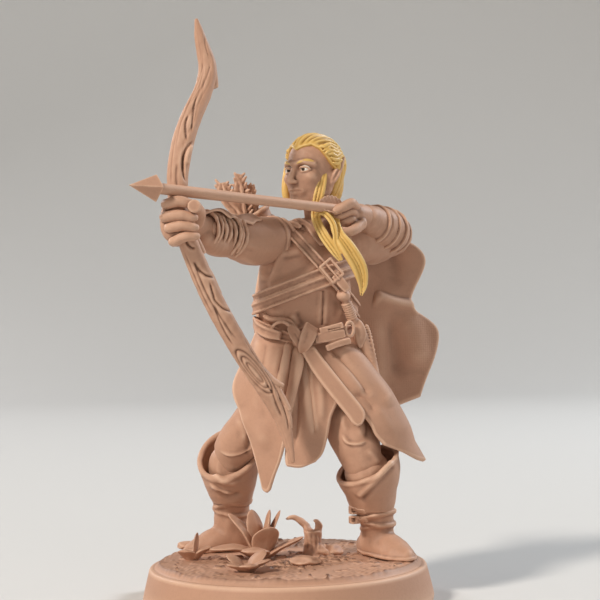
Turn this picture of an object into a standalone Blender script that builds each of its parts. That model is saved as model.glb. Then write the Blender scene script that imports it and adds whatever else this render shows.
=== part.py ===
"""Archer miniature, 32 mm scale, on a 25 mm round base.

The figure is a kit of glued castings. Every piece is one closed solid in its own object.
Lengths in this file are millimetres; MM turns them into Blender's metres. +Z is up, the
origin is the middle of the base's underside, and the figure's chest looks towards -Y.
"""
import math

import bmesh
import bpy
from mathutils import Matrix, Vector

MM = 0.001
GLUE_GAP = 0.05          # clearance between two castings, all round

BASE_RADIUS = 12.5
BASE_TOP_RADIUS = 11.85
BASE_HEIGHT = 3.1
BASE_EDGE = 0.45         # rounding of the foot of the base
GROUND_THICKNESS = 0.55
GROUND_Z = BASE_HEIGHT + GLUE_GAP + GROUND_THICKNESS

PEG_RADIUS = 0.7         # pegs under the boots
PEG_DEPTH = 2.0
WAIST_Z = 22.6           # where the torso casting sits on the hips
WAIST_PEG_RADIUS = 1.2

ARROW_NOCK = (6.0, -0.75, 33.42)
ARROW_TIP = (-11.65, -14.4, 34.55)
ARROW_RADIUS = 0.42
ARROWHEAD_LENGTH = 3.3
ARROWHEAD_HALF = 1.35

# Trunk levels: centre x, centre y, z, half width, half depth, turn about Z in degrees.
TRUNK = (
    (2.2, 0.6, 17.0, 3.1, 2.2, -10),
    (2.2, 0.55, 18.6, 3.8, 2.6, -10),
    (2.15, 0.5, 20.4, 4.0, 2.7, -8),
    (2.0, 0.4, 22.0, 3.95, 2.65, -4),
    (1.95, 0.3, 23.4, 3.95, 2.65, 0),
    (1.95, 0.1, 25.2, 4.1, 2.8, 8),
    (1.9, 0.0, 27.2, 4.05, 2.9, 14),
    (1.95, 0.0, 29.2, 3.85, 2.9, 18),
    (2.2, 0.3, 30.8, 3.6, 2.5, 20),
    (2.6, 0.6, 31.9, 2.6, 1.9, 20),
    (2.7, 0.6, 32.5, 1.75, 1.55, 20),
)
# Limb paths: x, y, z, radius.
RIGHT_LEG = (
    (0.3, 1.0, 19.4, 1.5), (-0.5, 1.15, 17.9, 1.85), (-2.4, 1.5, 15.5, 2.0),
    (-4.3, 2.0, 13.0, 1.85), (-4.75, 2.7, 11.3, 1.55), (-4.85, 3.2, 10.3, 1.4),
)
LEFT_LEG = (
    (4.4, 0.1, 19.4, 1.5), (4.6, -0.4, 17.9, 1.9), (5.2, -1.5, 15.2, 1.95),
    (6.35, -2.3, 12.4, 1.9), (6.85, -2.0, 10.9, 1.65), (7.0, -1.7, 9.9, 1.45),
)
RIGHT_SHAFT = (
    (-4.8, 2.9, 11.4, 2.05), (-4.95, 3.8, 9.4, 1.85), (-4.95, 4.5, 7.6, 1.6),
    (-4.95, 4.85, 6.2, 1.6), (-4.75, 4.95, 4.6, 1.45),
)
LEFT_SHAFT = (
    (6.95, -2.0, 10.9, 2.0), (7.2, -1.3, 9.0, 1.85), (7.6, -0.6, 7.3, 1.55),
    (7.75, -0.2, 6.0, 1.4), (7.6, 0.2, 4.6, 1.35),
)
# Feet: x, y, half width, height above the sole.
RIGHT_FOOT = (
    (-3.55, 5.15, 1.05, 1.7), (-4.7, 4.95, 1.3, 2.4), (-6.2, 4.5, 1.35, 2.1),
    (-7.6, 4.1, 1.2, 1.35), (-8.75, 3.8, 0.45, 0.75),
)
LEFT_FOOT = (
    (7.0, 1.45, 1.0, 1.7), (7.6, 0.2, 1.25, 2.3), (8.6, -1.1, 1.45, 2.0),
    (9.35, -2.3, 1.4, 1.45), (9.9, -3.3, 0.75, 0.95),
)
RIGHT_CUFF = ((-4.9, 3.6, 9.3, 2.3), (-5.1, 3.0, 11.4, 2.75), (-5.3, 2.5, 13.3, 3.05))
LEFT_CUFF = ((7.3, -1.1, 8.5, 2.2), (7.1, -1.6, 10.0, 2.5), (6.9, -1.9, 11.5, 3.0))
RIGHT_UPPER_ARM = (
    (0.2, -0.1, 30.6, 1.5), (-1.1, -1.6, 30.9, 2.0), (-2.9, -3.7, 30.7, 2.1),
    (-4.2, -5.3, 30.8, 1.85),
)
RIGHT_FOREARM = (
    (-3.9, -4.9, 30.9, 1.2), (-5.4, -7.2, 31.2, 1.3), (-6.9, -9.3, 31.7, 1.0),
    (-7.6, -10.3, 31.9, 1.0),
)
RIGHT_RUFFLE = ((-4.1, -5.2, 30.9, 2.35), (-5.2, -6.7, 31.1, 2.55), (-5.9, -7.7, 31.3, 2.5))
LEFT_UPPER_ARM = (
    (4.9, 1.3, 30.4, 1.5), (6.6, 2.7, 30.9, 1.9), (8.6, 4.9, 31.1, 1.85),
    (10.2, 6.5, 31.3, 1.4),
)
LEFT_FOREARM = (
    (10.6, 6.3, 31.6, 1.3), (9.6, 4.6, 31.9, 1.85), (8.5, 2.9, 32.3, 1.7),
    (7.5, 1.3, 32.8, 1.3),
)
BOW = (
    (-6.55, -8.2, 48.45, 0.18, 0.18), (-6.25, -8.0, 46.9, 0.5, 0.45),
    (-5.95, -7.9, 44.6, 0.75, 0.6), (-6.5, -8.5, 42.6, 0.75, 0.6),
    (-7.5, -9.5, 40.4, 0.85, 0.65), (-8.3, -10.3, 38.1, 0.9, 0.7),
    (-8.75, -10.8, 35.3, 0.85, 0.65), (-8.15, -11.1, 32.2, 0.75, 0.7),
    (-7.25, -10.7, 29.5, 0.9, 0.7), (-5.65, -9.8, 25.7, 1.0, 0.65),
    (-3.55, -8.7, 21.7, 1.05, 0.6), (-1.5, -7.6, 18.4, 0.95, 0.55),
    (-0.2, -7.1, 15.8, 0.75, 0.5), (0.5, -7.4, 12.7, 0.22, 0.2),
)
HAND_R = ((-8.1, -11.1, 30.2, 1.4), (-8.2, -11.1, 31.0, 1.8), (-8.3, -11.1, 33.0, 1.8),
          (-8.35, -11.1, 33.75, 1.55))
HAND_L = ((7.35, 1.05, 32.9, 1.1), (6.75, 0.35, 33.0, 1.45), (5.9, -0.4, 33.1, 1.4),
          (5.2, -1.0, 33.2, 1.0))
# Head levels like the trunk's; the face looks 40 degrees to the figure's right.
FACE_TURN = -40
HEAD = (
    (1.75, -1.6, 33.75, 0.75, 0.7, FACE_TURN), (2.2, -1.05, 34.4, 1.5, 1.6, FACE_TURN),
    (2.6, -0.55, 35.5, 1.95, 2.3, FACE_TURN), (2.75, -0.35, 36.8, 2.1, 2.6, FACE_TURN),
    (2.85, -0.2, 38.1, 2.15, 2.65, FACE_TURN), (2.9, -0.15, 39.1, 1.7, 2.1, FACE_TURN),
    (2.95, -0.1, 39.65, 0.8, 1.0, FACE_TURN),
)
NECK = ((2.7, 0.55, 31.6, 1.1), (2.7, 0.4, 33.2, 1.1), (2.7, 0.1, 34.9, 1.15))

COLLAR = (
    (2.1, 0.2, 30.1, 4.25, 3.25, 20), (2.25, 0.35, 31.3, 3.95, 2.95, 20),
    (2.55, 0.55, 32.2, 2.7, 2.3, 20), (2.7, 0.6, 32.85, 1.7, 1.65, 20),
)
HAIR = (
    (2.9, 0.9, 33.6, 1.3, 1.2, FACE_TURN), (3.0, 0.7, 34.6, 2.0, 1.9, FACE_TURN),
    (3.05, 0.35, 36.2, 2.65, 2.9, FACE_TURN), (3.0, 0.1, 38.0, 2.75, 3.25, FACE_TURN),
    (3.0, 0.05, 39.3, 2.3, 2.7, FACE_TURN), (3.05, 0.1, 40.1, 1.4, 1.7, FACE_TURN),
    (3.1, 0.15, 40.4, 0.5, 0.6, FACE_TURN),
)
LOCKS = {
    "hair_lock_front": ((3.7, -1.4, 35.4, 0.3), (3.3, -1.85, 34.2, 0.42), (3.3, -2.2, 33.2, 0.45),
                        (3.5, -2.9, 32.1, 0.5), (4.1, -3.35, 30.6, 0.45), (4.9, -3.3, 29.2, 0.25)),
    "hair_lock_long": ((4.5, -0.6, 34.6, 0.4), (4.4, -1.7, 32.7, 0.45), (4.9, -2.9, 31.6, 0.6),
                       (5.9, -3.2, 29.9, 0.65), (6.9, -2.9, 28.0, 0.5), (6.7, -2.5, 26.3, 0.15)),
}
WRAP_TILT = (-0.33, 0.0, 0.94)
BALDRIC_TILT = (0.76, 0.0, 0.65)
BALDRIC_MIDDLE = (2.75, 0.0, 29.3)
BELT_MIDDLE = (2.0, 0.4, 22.85)
BELT_TILT = (0.1, 0.0, 1.0)
HIP_STRAP_MIDDLE = (2.0, 0.4, 21.4)
HIP_STRAP_TILT = (0.05, 0.0, 1.0)
# Skirt panels: where they start round the waist, in degrees, then rows of points down to the hem.
SKIRT_TOP_Z = 21.2
SKIRT = {
    "skirt_left": ((186, 222, 256), (
        ((-3.2, -0.2, 18.0), (-1.7, -3.0, 17.8), (0.8, -3.7, 17.8)),
        ((-4.6, -1.6, 14.6), (-2.4, -3.5, 14.2), (0.3, -4.2, 14.4)),
        ((-3.4, -2.9, 12.1), (-2.0, -3.8, 11.4), (-0.5, -4.3, 11.6)),
        ((-1.95, -3.2, 9.9), (-1.65, -3.5, 9.7), (-1.35, -3.7, 9.8)),
    )),
    "skirt_centre": ((262, 279, 298), (
        ((1.4, -4.2, 17.6), (3.0, -4.25, 17.6), (4.5, -4.1, 17.6)),
        ((0.7, -4.8, 14.4), (2.2, -4.9, 14.6), (3.7, -4.75, 15.0)),
        ((0.0, -5.0, 12.1), (1.2, -5.0, 11.9), (2.4, -4.9, 12.4)),
    )),
    "skirt_right": ((304, 330, 358, 384), (
        ((5.2, -3.9, 18.4), (7.2, -3.3, 18.3), (8.2, -0.4, 18.6), (7.9, 2.6, 18.6)),
        ((6.1, -4.4, 16.2), (8.5, -3.9, 16.0), (9.7, -0.7, 16.3), (9.4, 2.4, 16.2)),
        ((7.9, -4.2, 14.3), (9.8, -3.3, 14.0), (10.8, -0.7, 13.9), (10.7, 1.6, 14.2)),
        ((11.3, -1.1, 12.0), (11.6, -0.8, 11.85), (11.9, -0.3, 11.75), (12.0, 0.3, 11.9)),
    )),
    "skirt_back": ((32, 70, 118, 172), (
        ((7.0, 3.4, 18.2), (3.9, 4.4, 17.8), (0.2, 4.4, 17.8), (-2.9, 1.6, 18.2)),
        ((7.9, 3.7, 15.2), (4.4, 4.9, 14.4), (0.0, 4.9, 14.4), (-3.6, 2.9, 15.0)),
    )),
}
GUARD = ((6.2, -1.65, 22.4), (0.85, 0.5, 0.6), (0.3, 0, -1))
SHEATH = (
    (6.35, -1.95, 21.7, 0.62, 0.4), (6.95, -2.9, 20.2, 0.6, 0.38), (7.75, -3.9, 17.9, 0.5, 0.32),
    (8.1, -4.3, 16.9, 0.2, 0.15),
)
KNOT = ((1.35, -3.35, 21.9), (0.95, 0.7, 0.85))
KNOT_ENDS = (
    ((1.7, -3.4, 22.1, 0.4), (2.9, -3.35, 22.6, 0.45), (4.4, -2.85, 22.7, 0.3)),
    ((1.6, -3.4, 21.7, 0.4), (3.0, -3.35, 21.6, 0.4), (4.5, -2.85, 21.5, 0.25)),
)
SASH_TAIL = (
    ((1.2, -3.9, 21.4), (2.1, -3.9, 21.2)), ((2.0, -4.75, 19.2), (3.2, -4.7, 19.0)),
    ((3.4, -5.0, 17.2), (4.6, -4.85, 16.9)), ((4.9, -5.1, 15.9), (5.8, -4.9, 15.5)),
)
CLOAK = (
    ((-1.2, 3.5, 31.2), (1.3, 3.9, 31.6), (4.2, 4.6, 31.4), (7.4, 7.5, 31.5), (10.4, 8.6, 31.8)),
    ((-1.9, 3.8, 28.5), (1.2, 4.3, 28.3), (4.6, 5.3, 28.0), (8.6, 7.6, 28.6), (13.1, 8.6, 29.6)),
    ((-2.3, 3.8, 25.4), (1.0, 4.4, 25.0), (4.9, 5.6, 24.6), (8.6, 6.6, 25.6), (11.6, 7.9, 25.3)),
    ((-1.6, 4.7, 21.6), (1.4, 5.2, 21.3), (5.2, 6.2, 20.9), (9.8, 7.0, 21.8), (14.2, 8.6, 22.6)),
    ((-0.9, 5.6, 17.9), (1.8, 6.0, 17.3), (5.4, 6.5, 16.4), (8.6, 6.9, 15.9), (12.3, 7.6, 17.0)),
)

COLOURS = {
    "resin": (0.46, 0.27, 0.19), "hair": (0.78, 0.52, 0.18),
}


# ---------------------------------------------------------------- modelling tools

def material(name):
    """The painted resin's material, made once for each colour."""
    found = bpy.data.materials.get(name)
    if found:
        return found
    made = bpy.data.materials.new(name)
    made.use_nodes = True
    shader = made.node_tree.nodes["Principled BSDF"]
    shader.inputs["Base Color"].default_value = (*COLOURS[name], 1)
    shader.inputs["Roughness"].default_value = 0.62
    shader.inputs["Metallic"].default_value = 0.0
    return made


def new_object(name, bm, paint="resin"):
    bmesh.ops.recalc_face_normals(bm, faces=bm.faces)
    bmesh.ops.triangulate(bm, faces=bm.faces)
    bmesh.ops.scale(bm, vec=(MM, MM, MM), verts=bm.verts)
    mesh = bpy.data.meshes.new(name)
    bm.to_mesh(mesh)
    bm.free()
    mesh.shade_smooth()
    mesh.set_sharp_from_angle(angle=math.radians(40))
    mesh.materials.append(material(paint))
    made = bpy.data.objects.new(name, mesh)
    bpy.context.scene.collection.objects.link(made)
    return made


def skin(rings):
    """A bmesh closed over a list of rings of points, with a flat cap at each end."""
    bm = bmesh.new()
    loops = [[bm.verts.new(p) for p in ring] for ring in rings]
    count = len(loops[0])
    for low, high in zip(loops, loops[1:]):
        for i in range(count):
            j = (i + 1) % count
            bm.faces.new((low[i], low[j], high[j], high[i]))
    bm.faces.new(loops[0])
    bm.faces.new(loops[-1])
    return bm


def oval(centre, side, lift, sides):
    turns = [2 * math.pi * i / sides for i in range(sides)]
    return [centre + side * math.cos(t) + lift * math.sin(t) for t in turns]


def limb(name, path, grow=0.0, sides=12, ref=(0, 1, 0), paint="resin"):
    """A tube along path, whose points are x, y, z, radius and, for an oval, a second radius."""
    points = [Vector(p[:3]) for p in path]
    rings = []
    for i, p in enumerate(path):
        ahead = points[min(i + 1, len(points) - 1)]
        behind = points[max(i - 1, 0)]
        tangent = (ahead - behind).normalized()
        side = tangent.cross(Vector(ref)).normalized()
        lift = side.cross(tangent)
        push = -grow if i == 0 else grow if i == len(path) - 1 else 0.0
        centre = points[i] + tangent * push
        rings.append(oval(centre, side * (p[3] + grow), lift * (p[-1] + grow), sides))
    return new_object(name, skin(rings), paint)


def level_at(levels, z):
    """The trunk level at height z, blended from the two beside it."""
    for low, high in zip(levels, levels[1:]):
        if low[2] <= z <= high[2]:
            share = (z - low[2]) / (high[2] - low[2])
            return tuple(a + (b - a) * share for a, b in zip(low, high))
    end = levels[0] if z < levels[0][2] else levels[-1]
    return (*end[:2], z, *end[3:])


def trunk(name, levels, grow=0.0, low=None, high=None, sides=20, paint="resin"):
    """A stack of level ovals, optionally cut short to the heights low to high."""
    low = levels[0][2] if low is None else low
    high = levels[-1][2] if high is None else high
    kept = [level_at(levels, low)]
    kept += [v for v in levels if low < v[2] < high]
    kept += [level_at(levels, high)]
    rings = []
    for i, (x, y, z, wide, deep, turn) in enumerate(kept):
        spin = Matrix.Rotation(math.radians(turn), 3, "Z")
        push = -grow if i == 0 else grow if i == len(kept) - 1 else 0.0
        rings.append(oval(Vector((x, y, z + push)), spin @ Vector((wide + grow, 0, 0)),
                          spin @ Vector((0, deep + grow, 0)), sides))
    return new_object(name, skin(rings), paint)


def foot(name, stations, grow=0.0, sides=12):
    """A shoe lying along its stations, with a flat sole on the ground."""
    centres = [Vector((x, y, 0)) for x, y, _, _ in stations]
    rings = []
    for i, (x, y, wide, tall) in enumerate(stations):
        ahead = centres[min(i + 1, len(centres) - 1)]
        behind = centres[max(i - 1, 0)]
        along = (ahead - behind).normalized()
        side = Vector((along.y, -along.x, 0))
        push = -grow if i == 0 else grow if i == len(stations) - 1 else 0.0
        ring = []
        for k in range(sides):
            t = 2 * math.pi * k / sides
            rise = max(math.sin(t), -0.45) + 0.45
            height = GROUND_Z + GLUE_GAP + tall * rise / 1.45
            height += grow if math.sin(t) > -0.45 else -grow
            ring.append(centres[i] + along * push + side * (wide + grow) * math.cos(t)
                        + Vector((0, 0, height)))
        rings.append(ring)
    return new_object(name, skin(rings))


def block(name, centre, size, axis=(0, 0, 1), turn=0.0):
    """A box whose own Z looks along axis, turned about it."""
    bm = bmesh.new()
    bmesh.ops.create_cube(bm, size=1)
    bmesh.ops.scale(bm, vec=size, verts=bm.verts)
    aim = Vector(axis).to_track_quat("Z", "Y").to_matrix().to_4x4()
    spin = Matrix.Rotation(math.radians(turn), 4, "Z")
    bmesh.ops.transform(bm, matrix=Matrix.Translation(centre) @ aim @ spin, verts=bm.verts)
    return new_object(name, bm)


def ball(name, centre, size, axis=(0, 0, 1), grow=0.0, rounds=12, paint="resin"):
    """An ellipsoid with half sizes size, its own Z along axis."""
    bm = bmesh.new()
    bmesh.ops.create_uvsphere(bm, u_segments=rounds, v_segments=rounds * 2 // 3, radius=1)
    bmesh.ops.scale(bm, vec=[s + grow for s in size], verts=bm.verts)
    aim = Vector(axis).to_track_quat("Z", "Y").to_matrix().to_4x4()
    bmesh.ops.transform(bm, matrix=Matrix.Translation(centre) @ aim, verts=bm.verts)
    return new_object(name, bm, paint)


def catmull(points, steps):
    """A smooth curve through the points, with steps pieces between each two."""
    ends = [points[0] * 2 - points[1], *points, points[-1] * 2 - points[-2]]
    curve = []
    for a, b, c, d in zip(ends, ends[1:], ends[2:], ends[3:]):
        for k in range(steps):
            t = k / steps
            curve.append(0.5 * (2 * b + (c - a) * t + (2 * a - 5 * b + 4 * c - d) * t * t
                                + (3 * b - a - 3 * c + d) * t ** 3))
    return curve + [points[-1]]


def sheet(name, rows, thickness, steps=2, paint="resin"):
    """A curved sheet through a grid of points, given an even thickness by Solidify."""
    across = [catmull([Vector(p) for p in row], steps) for row in rows]
    columns = [catmull(list(column), steps) for column in zip(*across)]
    bm = bmesh.new()
    grid = [[bm.verts.new(p) for p in column] for column in columns]
    for left, right in zip(grid, grid[1:]):
        for i in range(len(left) - 1):
            bm.faces.new((left[i], left[i + 1], right[i + 1], right[i]))
    made = new_object(name, bm, paint)
    solid = made.modifiers.new("thickness", "SOLIDIFY")
    solid.thickness = thickness * MM
    solid.offset = 0.0
    solid.use_even_offset = False
    return made


def helper(made):
    """Marks an object as a cutter or a part of a union, which is no piece of its own."""
    made.hide_render = True
    made.display_type = "WIRE"
    return made


def boolean(target, operation, *others):
    for other in others:
        step = target.modifiers.new(other.name[:40], "BOOLEAN")
        step.operation = operation
        step.object = helper(other)
        step.solver = "EXACT"
    return target


def cut(target, *others):
    return boolean(target, "DIFFERENCE", *others)


def join(target, *others):
    return boolean(target, "UNION", *others)


def band(name, centre, normal, width, thickness, inner=GLUE_GAP):
    """A strap round the trunk in a tilted plane, lying on the trunk's surface."""
    made = trunk(name, TRUNK, grow=thickness + inner, sides=28)
    boolean(made, "INTERSECT", block(name + "_slab", centre, (30, 30, width), normal))
    return cut(made, trunk(name + "_core", TRUNK, grow=inner, low=15.5, high=33.5, sides=28))


def cutter_band(name, centre, normal, width, thickness):
    """The space that such a strap takes, with the glue gap round it."""
    made = trunk(name, TRUNK, grow=thickness + 2 * GLUE_GAP, sides=28)
    slab = block(name + "_slab", centre, (30, 30, width + 2 * GLUE_GAP), normal)
    return boolean(made, "INTERSECT", slab)


def rod(name, start, end, radius, grow=0.0, sides=12):
    return limb(name, ((*start, radius), (*end, radius)), grow, sides, ref=(0.31, 0.47, 0.83))


def leaf(name, root, tip, width, rise, thickness=0.26):
    """A pointed leaf from root to tip, arching up by rise, with a ridge down its middle."""
    root = Vector(root)
    tip = Vector(tip)
    run = tip - root
    side = Vector((run.y, -run.x, 0)).normalized()
    rings = []
    for share, wide in ((0, 0.25), (0.2, 0.62), (0.45, 1.0), (0.7, 0.8), (0.9, 0.3), (1, 0.04)):
        middle = root + run * share + Vector((0, 0, rise * math.sin(math.pi * share)))
        across = side * width * wide
        lip = Vector((0, 0, thickness * (0.35 + 0.65 * wide) / 2))
        rings.append([middle - across, middle - lip, middle + across, middle + lip * 1.6])
    return new_object(name, skin(rings))


def rosette(name, centre, leaves, core=0.5):
    """Leaves joined by a core that is sliced flat where it stands on the ground."""
    x, y = centre
    made = ball(name, (x, y, GROUND_Z + 0.25), (core, core, core * 1.1), rounds=9)
    for i, (tip, width, rise) in enumerate(leaves):
        root = Vector((x, y, GROUND_Z + 0.4))
        join(made, leaf(f"{name}_leaf_{i}", root, tip, width, rise))
    floor = GROUND_Z + GLUE_GAP
    return cut(made, block(name + "_floor", (x, y, floor - 2), (16, 16, 4)))


# ---------------------------------------------------------------- the base

def make_base():
    """The turned base and the ground that is glued on it, with the holes for the pegs."""
    edge = BASE_EDGE
    profile = ((BASE_RADIUS - edge, 0), (BASE_RADIUS - edge * 0.25, edge * 0.25),
               (BASE_RADIUS, edge), (BASE_TOP_RADIUS, BASE_HEIGHT))
    rings = [oval(Vector((0, 0, z)), Vector((r, 0, 0)), Vector((0, r, 0)), 40)
             for r, z in profile]
    base = new_object("base_disc", skin(rings))
    ground = new_object("ground", skin(ground_rings()))
    for label, (x, y) in (("right", RIGHT_FOOT[1][:2]), ("left", LEFT_FOOT[1][:2])):
        low = (x, y, GROUND_Z - PEG_DEPTH)
        high = (x, y, GROUND_Z + 1)
        cut(base, rod(f"base_hole_{label}", low, high, PEG_RADIUS, GLUE_GAP))
        cut(ground, rod(f"ground_hole_{label}", low, high, PEG_RADIUS, GLUE_GAP))


def ground_rings():
    """Rings from the ground's underside up over its edge to its uneven middle."""
    low = BASE_HEIGHT + GLUE_GAP
    sides = 40
    rings = []
    top = GROUND_Z - 0.06
    for radius, z, relief in ((11.4, low, 0), (11.55, low + 0.25, 0), (11.0, top - 0.05, 0),
                              (9.0, top, 0.06), (6.4, top, 0.06), (3.4, top, 0.06),
                              (0.6, top, 0.03)):
        ring = oval(Vector((0, 0, z)), Vector((radius, 0, 0)), Vector((0, radius, 0)), sides)
        for i, p in enumerate(ring):
            p.z += relief * math.sin(2.3 * p.x + 0.7) * math.cos(1.9 * p.y + 0.3 * i)
        rings.append(ring)
    return rings


def make_scenery():
    """The plants, the root and the stones, each glued on the ground."""
    rosette("leaf_rosette_main", (-2.3, 0.2), (
        ((-5.1, 0.6, 7.4), 0.5, 0.5), ((-3.1, 0.9, 7.7), 0.55, 0.7),
        ((-1.5, 0.3, 7.7), 0.55, 0.6), ((-1.5, -1.9, 6.5), 0.65, 0.9),
        ((1.4, -0.4, 5.4), 0.5, 1.2), ((-6.7, -1.2, 4.6), 0.75, 0.8),
        ((-3.2, -2.6, 4.5), 0.4, 0.7)), 0.55)
    rosette("leaf_rosette_left", (-8.3, 0.3), (
        ((-7.8, 0.2, 5.9), 0.35, 0.3), ((-6.5, -0.4, 4.7), 0.32, 0.3),
        ((-8.9, -1.0, 4.5), 0.32, 0.4)), 0.4)
    rosette("leaf_cluster_front", (-3.4, -6.6), (
        ((-5.0, -5.9, 4.9), 0.4, 0.3), ((-4.9, -7.7, 4.3), 0.38, 0.4),
        ((-3.0, -8.6, 4.3), 0.42, 0.4), ((-1.4, -7.3, 4.6), 0.42, 0.4),
        ((-1.9, -5.4, 5.1), 0.4, 0.3)), 0.45)
    stump = limb("root_stump", ((2.2, 1.2, GROUND_Z + GLUE_GAP, 0.9), (2.2, 1.2, 4.6, 0.75),
                                (2.2, 1.25, 5.4, 0.72), (2.25, 1.3, 5.75, 0.45)), sides=10)
    join(stump, limb("root_curl", ((2.2, 1.3, 5.2, 0.4), (1.5, 1.5, 6.2, 0.3),
                                   (0.6, 1.4, 6.85, 0.22), (-0.05, 1.2, 6.75, 0.12)), sides=8))
    join(stump, limb("root_toe", ((2.3, 1.0, 4.5, 0.5), (3.2, 0.4, 4.05, 0.3)), sides=8))
    for name, centre, size, turn in (
            ("stone_right", (3.95, 0.9, 4.0), (0.95, 0.7, 0.5), 20),
            ("stone_front", (1.5, -3.9, 3.95), (1.35, 1.0, 0.42), 35),
            ("slab_left", (-9.0, 6.4, 3.9), (1.2, 0.9, 0.35), 10)):
        aim = (math.sin(math.radians(turn)) * 0.2, 0.1, 1)
        stone = ball(name, centre, size, aim, rounds=9)
        x, y, _ = centre
        cut(stone, block(name + "_floor", (x, y, GROUND_Z + GLUE_GAP - 2), (8, 8, 4)))


# ---------------------------------------------------------------- legs and boots

def make_legs():
    hips = trunk("hips", TRUNK, high=WAIST_Z)
    cut(hips, rod("waist_hole", (2.0, 0.4, WAIST_Z - 2), (2.0, 0.4, WAIST_Z + 1),
                  WAIST_PEG_RADIUS, GLUE_GAP))
    for name, path in (("right_leg", RIGHT_LEG), ("left_leg", LEFT_LEG)):
        leg = limb(name, path, sides=14)
        top = Vector(path[0][:3])
        peg = (Vector(path[1][:3]).lerp(Vector(path[2][:3]), 0.7), top + Vector((0, 0, 0.4)))
        cut(leg, trunk(name + "_hips", TRUNK, GLUE_GAP, high=WAIST_Z))
        join(leg, rod(name + "_peg", *peg, 0.55))
        cut(hips, rod(name + "_socket", *peg, 0.55, GLUE_GAP))


def make_boot(side, shaft, shoe, leg, cuff):
    """A boot with its peg, a socket for the leg, and the turned-down cuff round its top."""
    boot = limb(f"{side}_boot", shaft, sides=14)
    x, y = shoe[1][:2]
    join(boot, foot(f"{side}_shoe", shoe))
    join(boot, rod(f"{side}_peg", (x, y, GROUND_Z - PEG_DEPTH + 0.1), (x, y, GROUND_Z + 0.8),
                   PEG_RADIUS))
    cut(boot, limb(f"{side}_socket", leg, GLUE_GAP, 14))
    ring = limb(f"{side}_boot_cuff", cuff, sides=14)
    base, _, brim = cuff
    inside = ((*base[:2], base[2] + 0.6, base[3] - 0.1),
              (brim[0], brim[1], brim[2] + 0.5, brim[3] - 0.3))
    cut(ring, limb(f"{side}_cuff_inside", inside, sides=14),
        limb(f"{side}_cuff_shaft", shaft, GLUE_GAP, 14),
        limb(f"{side}_cuff_leg", leg, GLUE_GAP, 14))
    return boot


def make_boots():
    make_boot("right", RIGHT_SHAFT, RIGHT_FOOT, RIGHT_LEG, RIGHT_CUFF)
    make_boot("left", LEFT_SHAFT, LEFT_FOOT, LEFT_LEG, LEFT_CUFF)
    straps = limb("left_boot_straps", ((7.45, -0.85, 8.15, 2.0), (7.62, -0.5, 7.2, 1.9),
                                       (7.72, -0.3, 6.5, 1.75)), sides=14)
    for i, z in enumerate((6.85, 7.75)):
        join(straps, block(f"boot_buckle_{i}", (6.35, -2.05, z), (0.9, 0.6, 0.55),
                           (-0.55, -0.8, 0.1)))
    cut(straps, limb("straps_shaft", LEFT_SHAFT, GLUE_GAP, 14))


# ---------------------------------------------------------------- trunk and dress

def make_torso():
    torso = trunk("torso", TRUNK, low=WAIST_Z + GLUE_GAP)
    join(torso, rod("waist_peg", (2.0, 0.4, WAIST_Z - 1.9), (2.0, 0.4, WAIST_Z + 1),
                    WAIST_PEG_RADIUS))
    cut(torso, limb("neck_socket", NECK, GLUE_GAP))
    for name, path in (("right", RIGHT_UPPER_ARM), ("left", LEFT_UPPER_ARM)):
        cut(torso, rod(f"{name}_arm_hole", *arm_peg(path), 0.6, GLUE_GAP))
    collar = trunk("collar", COLLAR)
    cut(collar, trunk("collar_torso", TRUNK, GLUE_GAP, high=33.5),
        limb("collar_neck", NECK, GLUE_GAP),
        block("collar_opening", (0.75, -3.2, 32.7), (1.9, 4.0, 1.9), (0, 0, 1), 45))
    for name, path in (("right", RIGHT_UPPER_ARM), ("left", LEFT_UPPER_ARM)):
        cut(collar, rod(f"collar_{name}_peg", *arm_peg(path), 0.6, GLUE_GAP))


def arm_peg(path):
    """Both ends of the peg that holds an arm to the torso."""
    root = Vector(path[0][:3])
    return root, root.lerp(Vector(path[1][:3]), 1.3)


def make_bands():
    """The wraps round the chest, the strap across it and the two belts."""
    for name, centre in (("chest_wrap_upper", (1.9, 0, 27.55)), ("chest_wrap_lower", (1.9, 0, 26.75))):
        band(name, centre, WRAP_TILT, 0.7, 0.4)
    baldric = band("baldric", BALDRIC_MIDDLE, BALDRIC_TILT, 1.0, 0.75)
    cut(baldric, cutter_band("baldric_wraps", (1.9, 0, 27.15), WRAP_TILT, 1.5, 0.4),
        trunk("baldric_collar", COLLAR, GLUE_GAP),
        limb("baldric_arm", RIGHT_UPPER_ARM, GLUE_GAP))
    buckle = block("baldric_buckle", (4.15, -3.3, 28.2), (1.15, 1.3, 0.5), (0.5, -0.85, 0.0), 38)
    cut(buckle, cutter_band("buckle_baldric", BALDRIC_MIDDLE, BALDRIC_TILT, 1.0, 0.75),
        trunk("buckle_torso", TRUNK, GLUE_GAP),
        cutter_band("buckle_wraps", (1.9, 0, 27.15), WRAP_TILT, 1.5, 0.4))
    band("belt", BELT_MIDDLE, BELT_TILT, 1.1, 0.5)
    band("hip_strap", HIP_STRAP_MIDDLE, HIP_STRAP_TILT, 0.8, 0.4)


def waist_point(angle):
    """The point just off the hips where a skirt panel starts, angle degrees round from +X."""
    x, y, z, wide, deep, turn = level_at(TRUNK, SKIRT_TOP_Z)
    a = math.radians(angle - turn)
    offset = Vector(((wide + 0.25) * math.cos(a), (deep + 0.25) * math.sin(a), 0))
    return Vector((x, y, z)) + Matrix.Rotation(math.radians(turn), 3, "Z") @ offset


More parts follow.
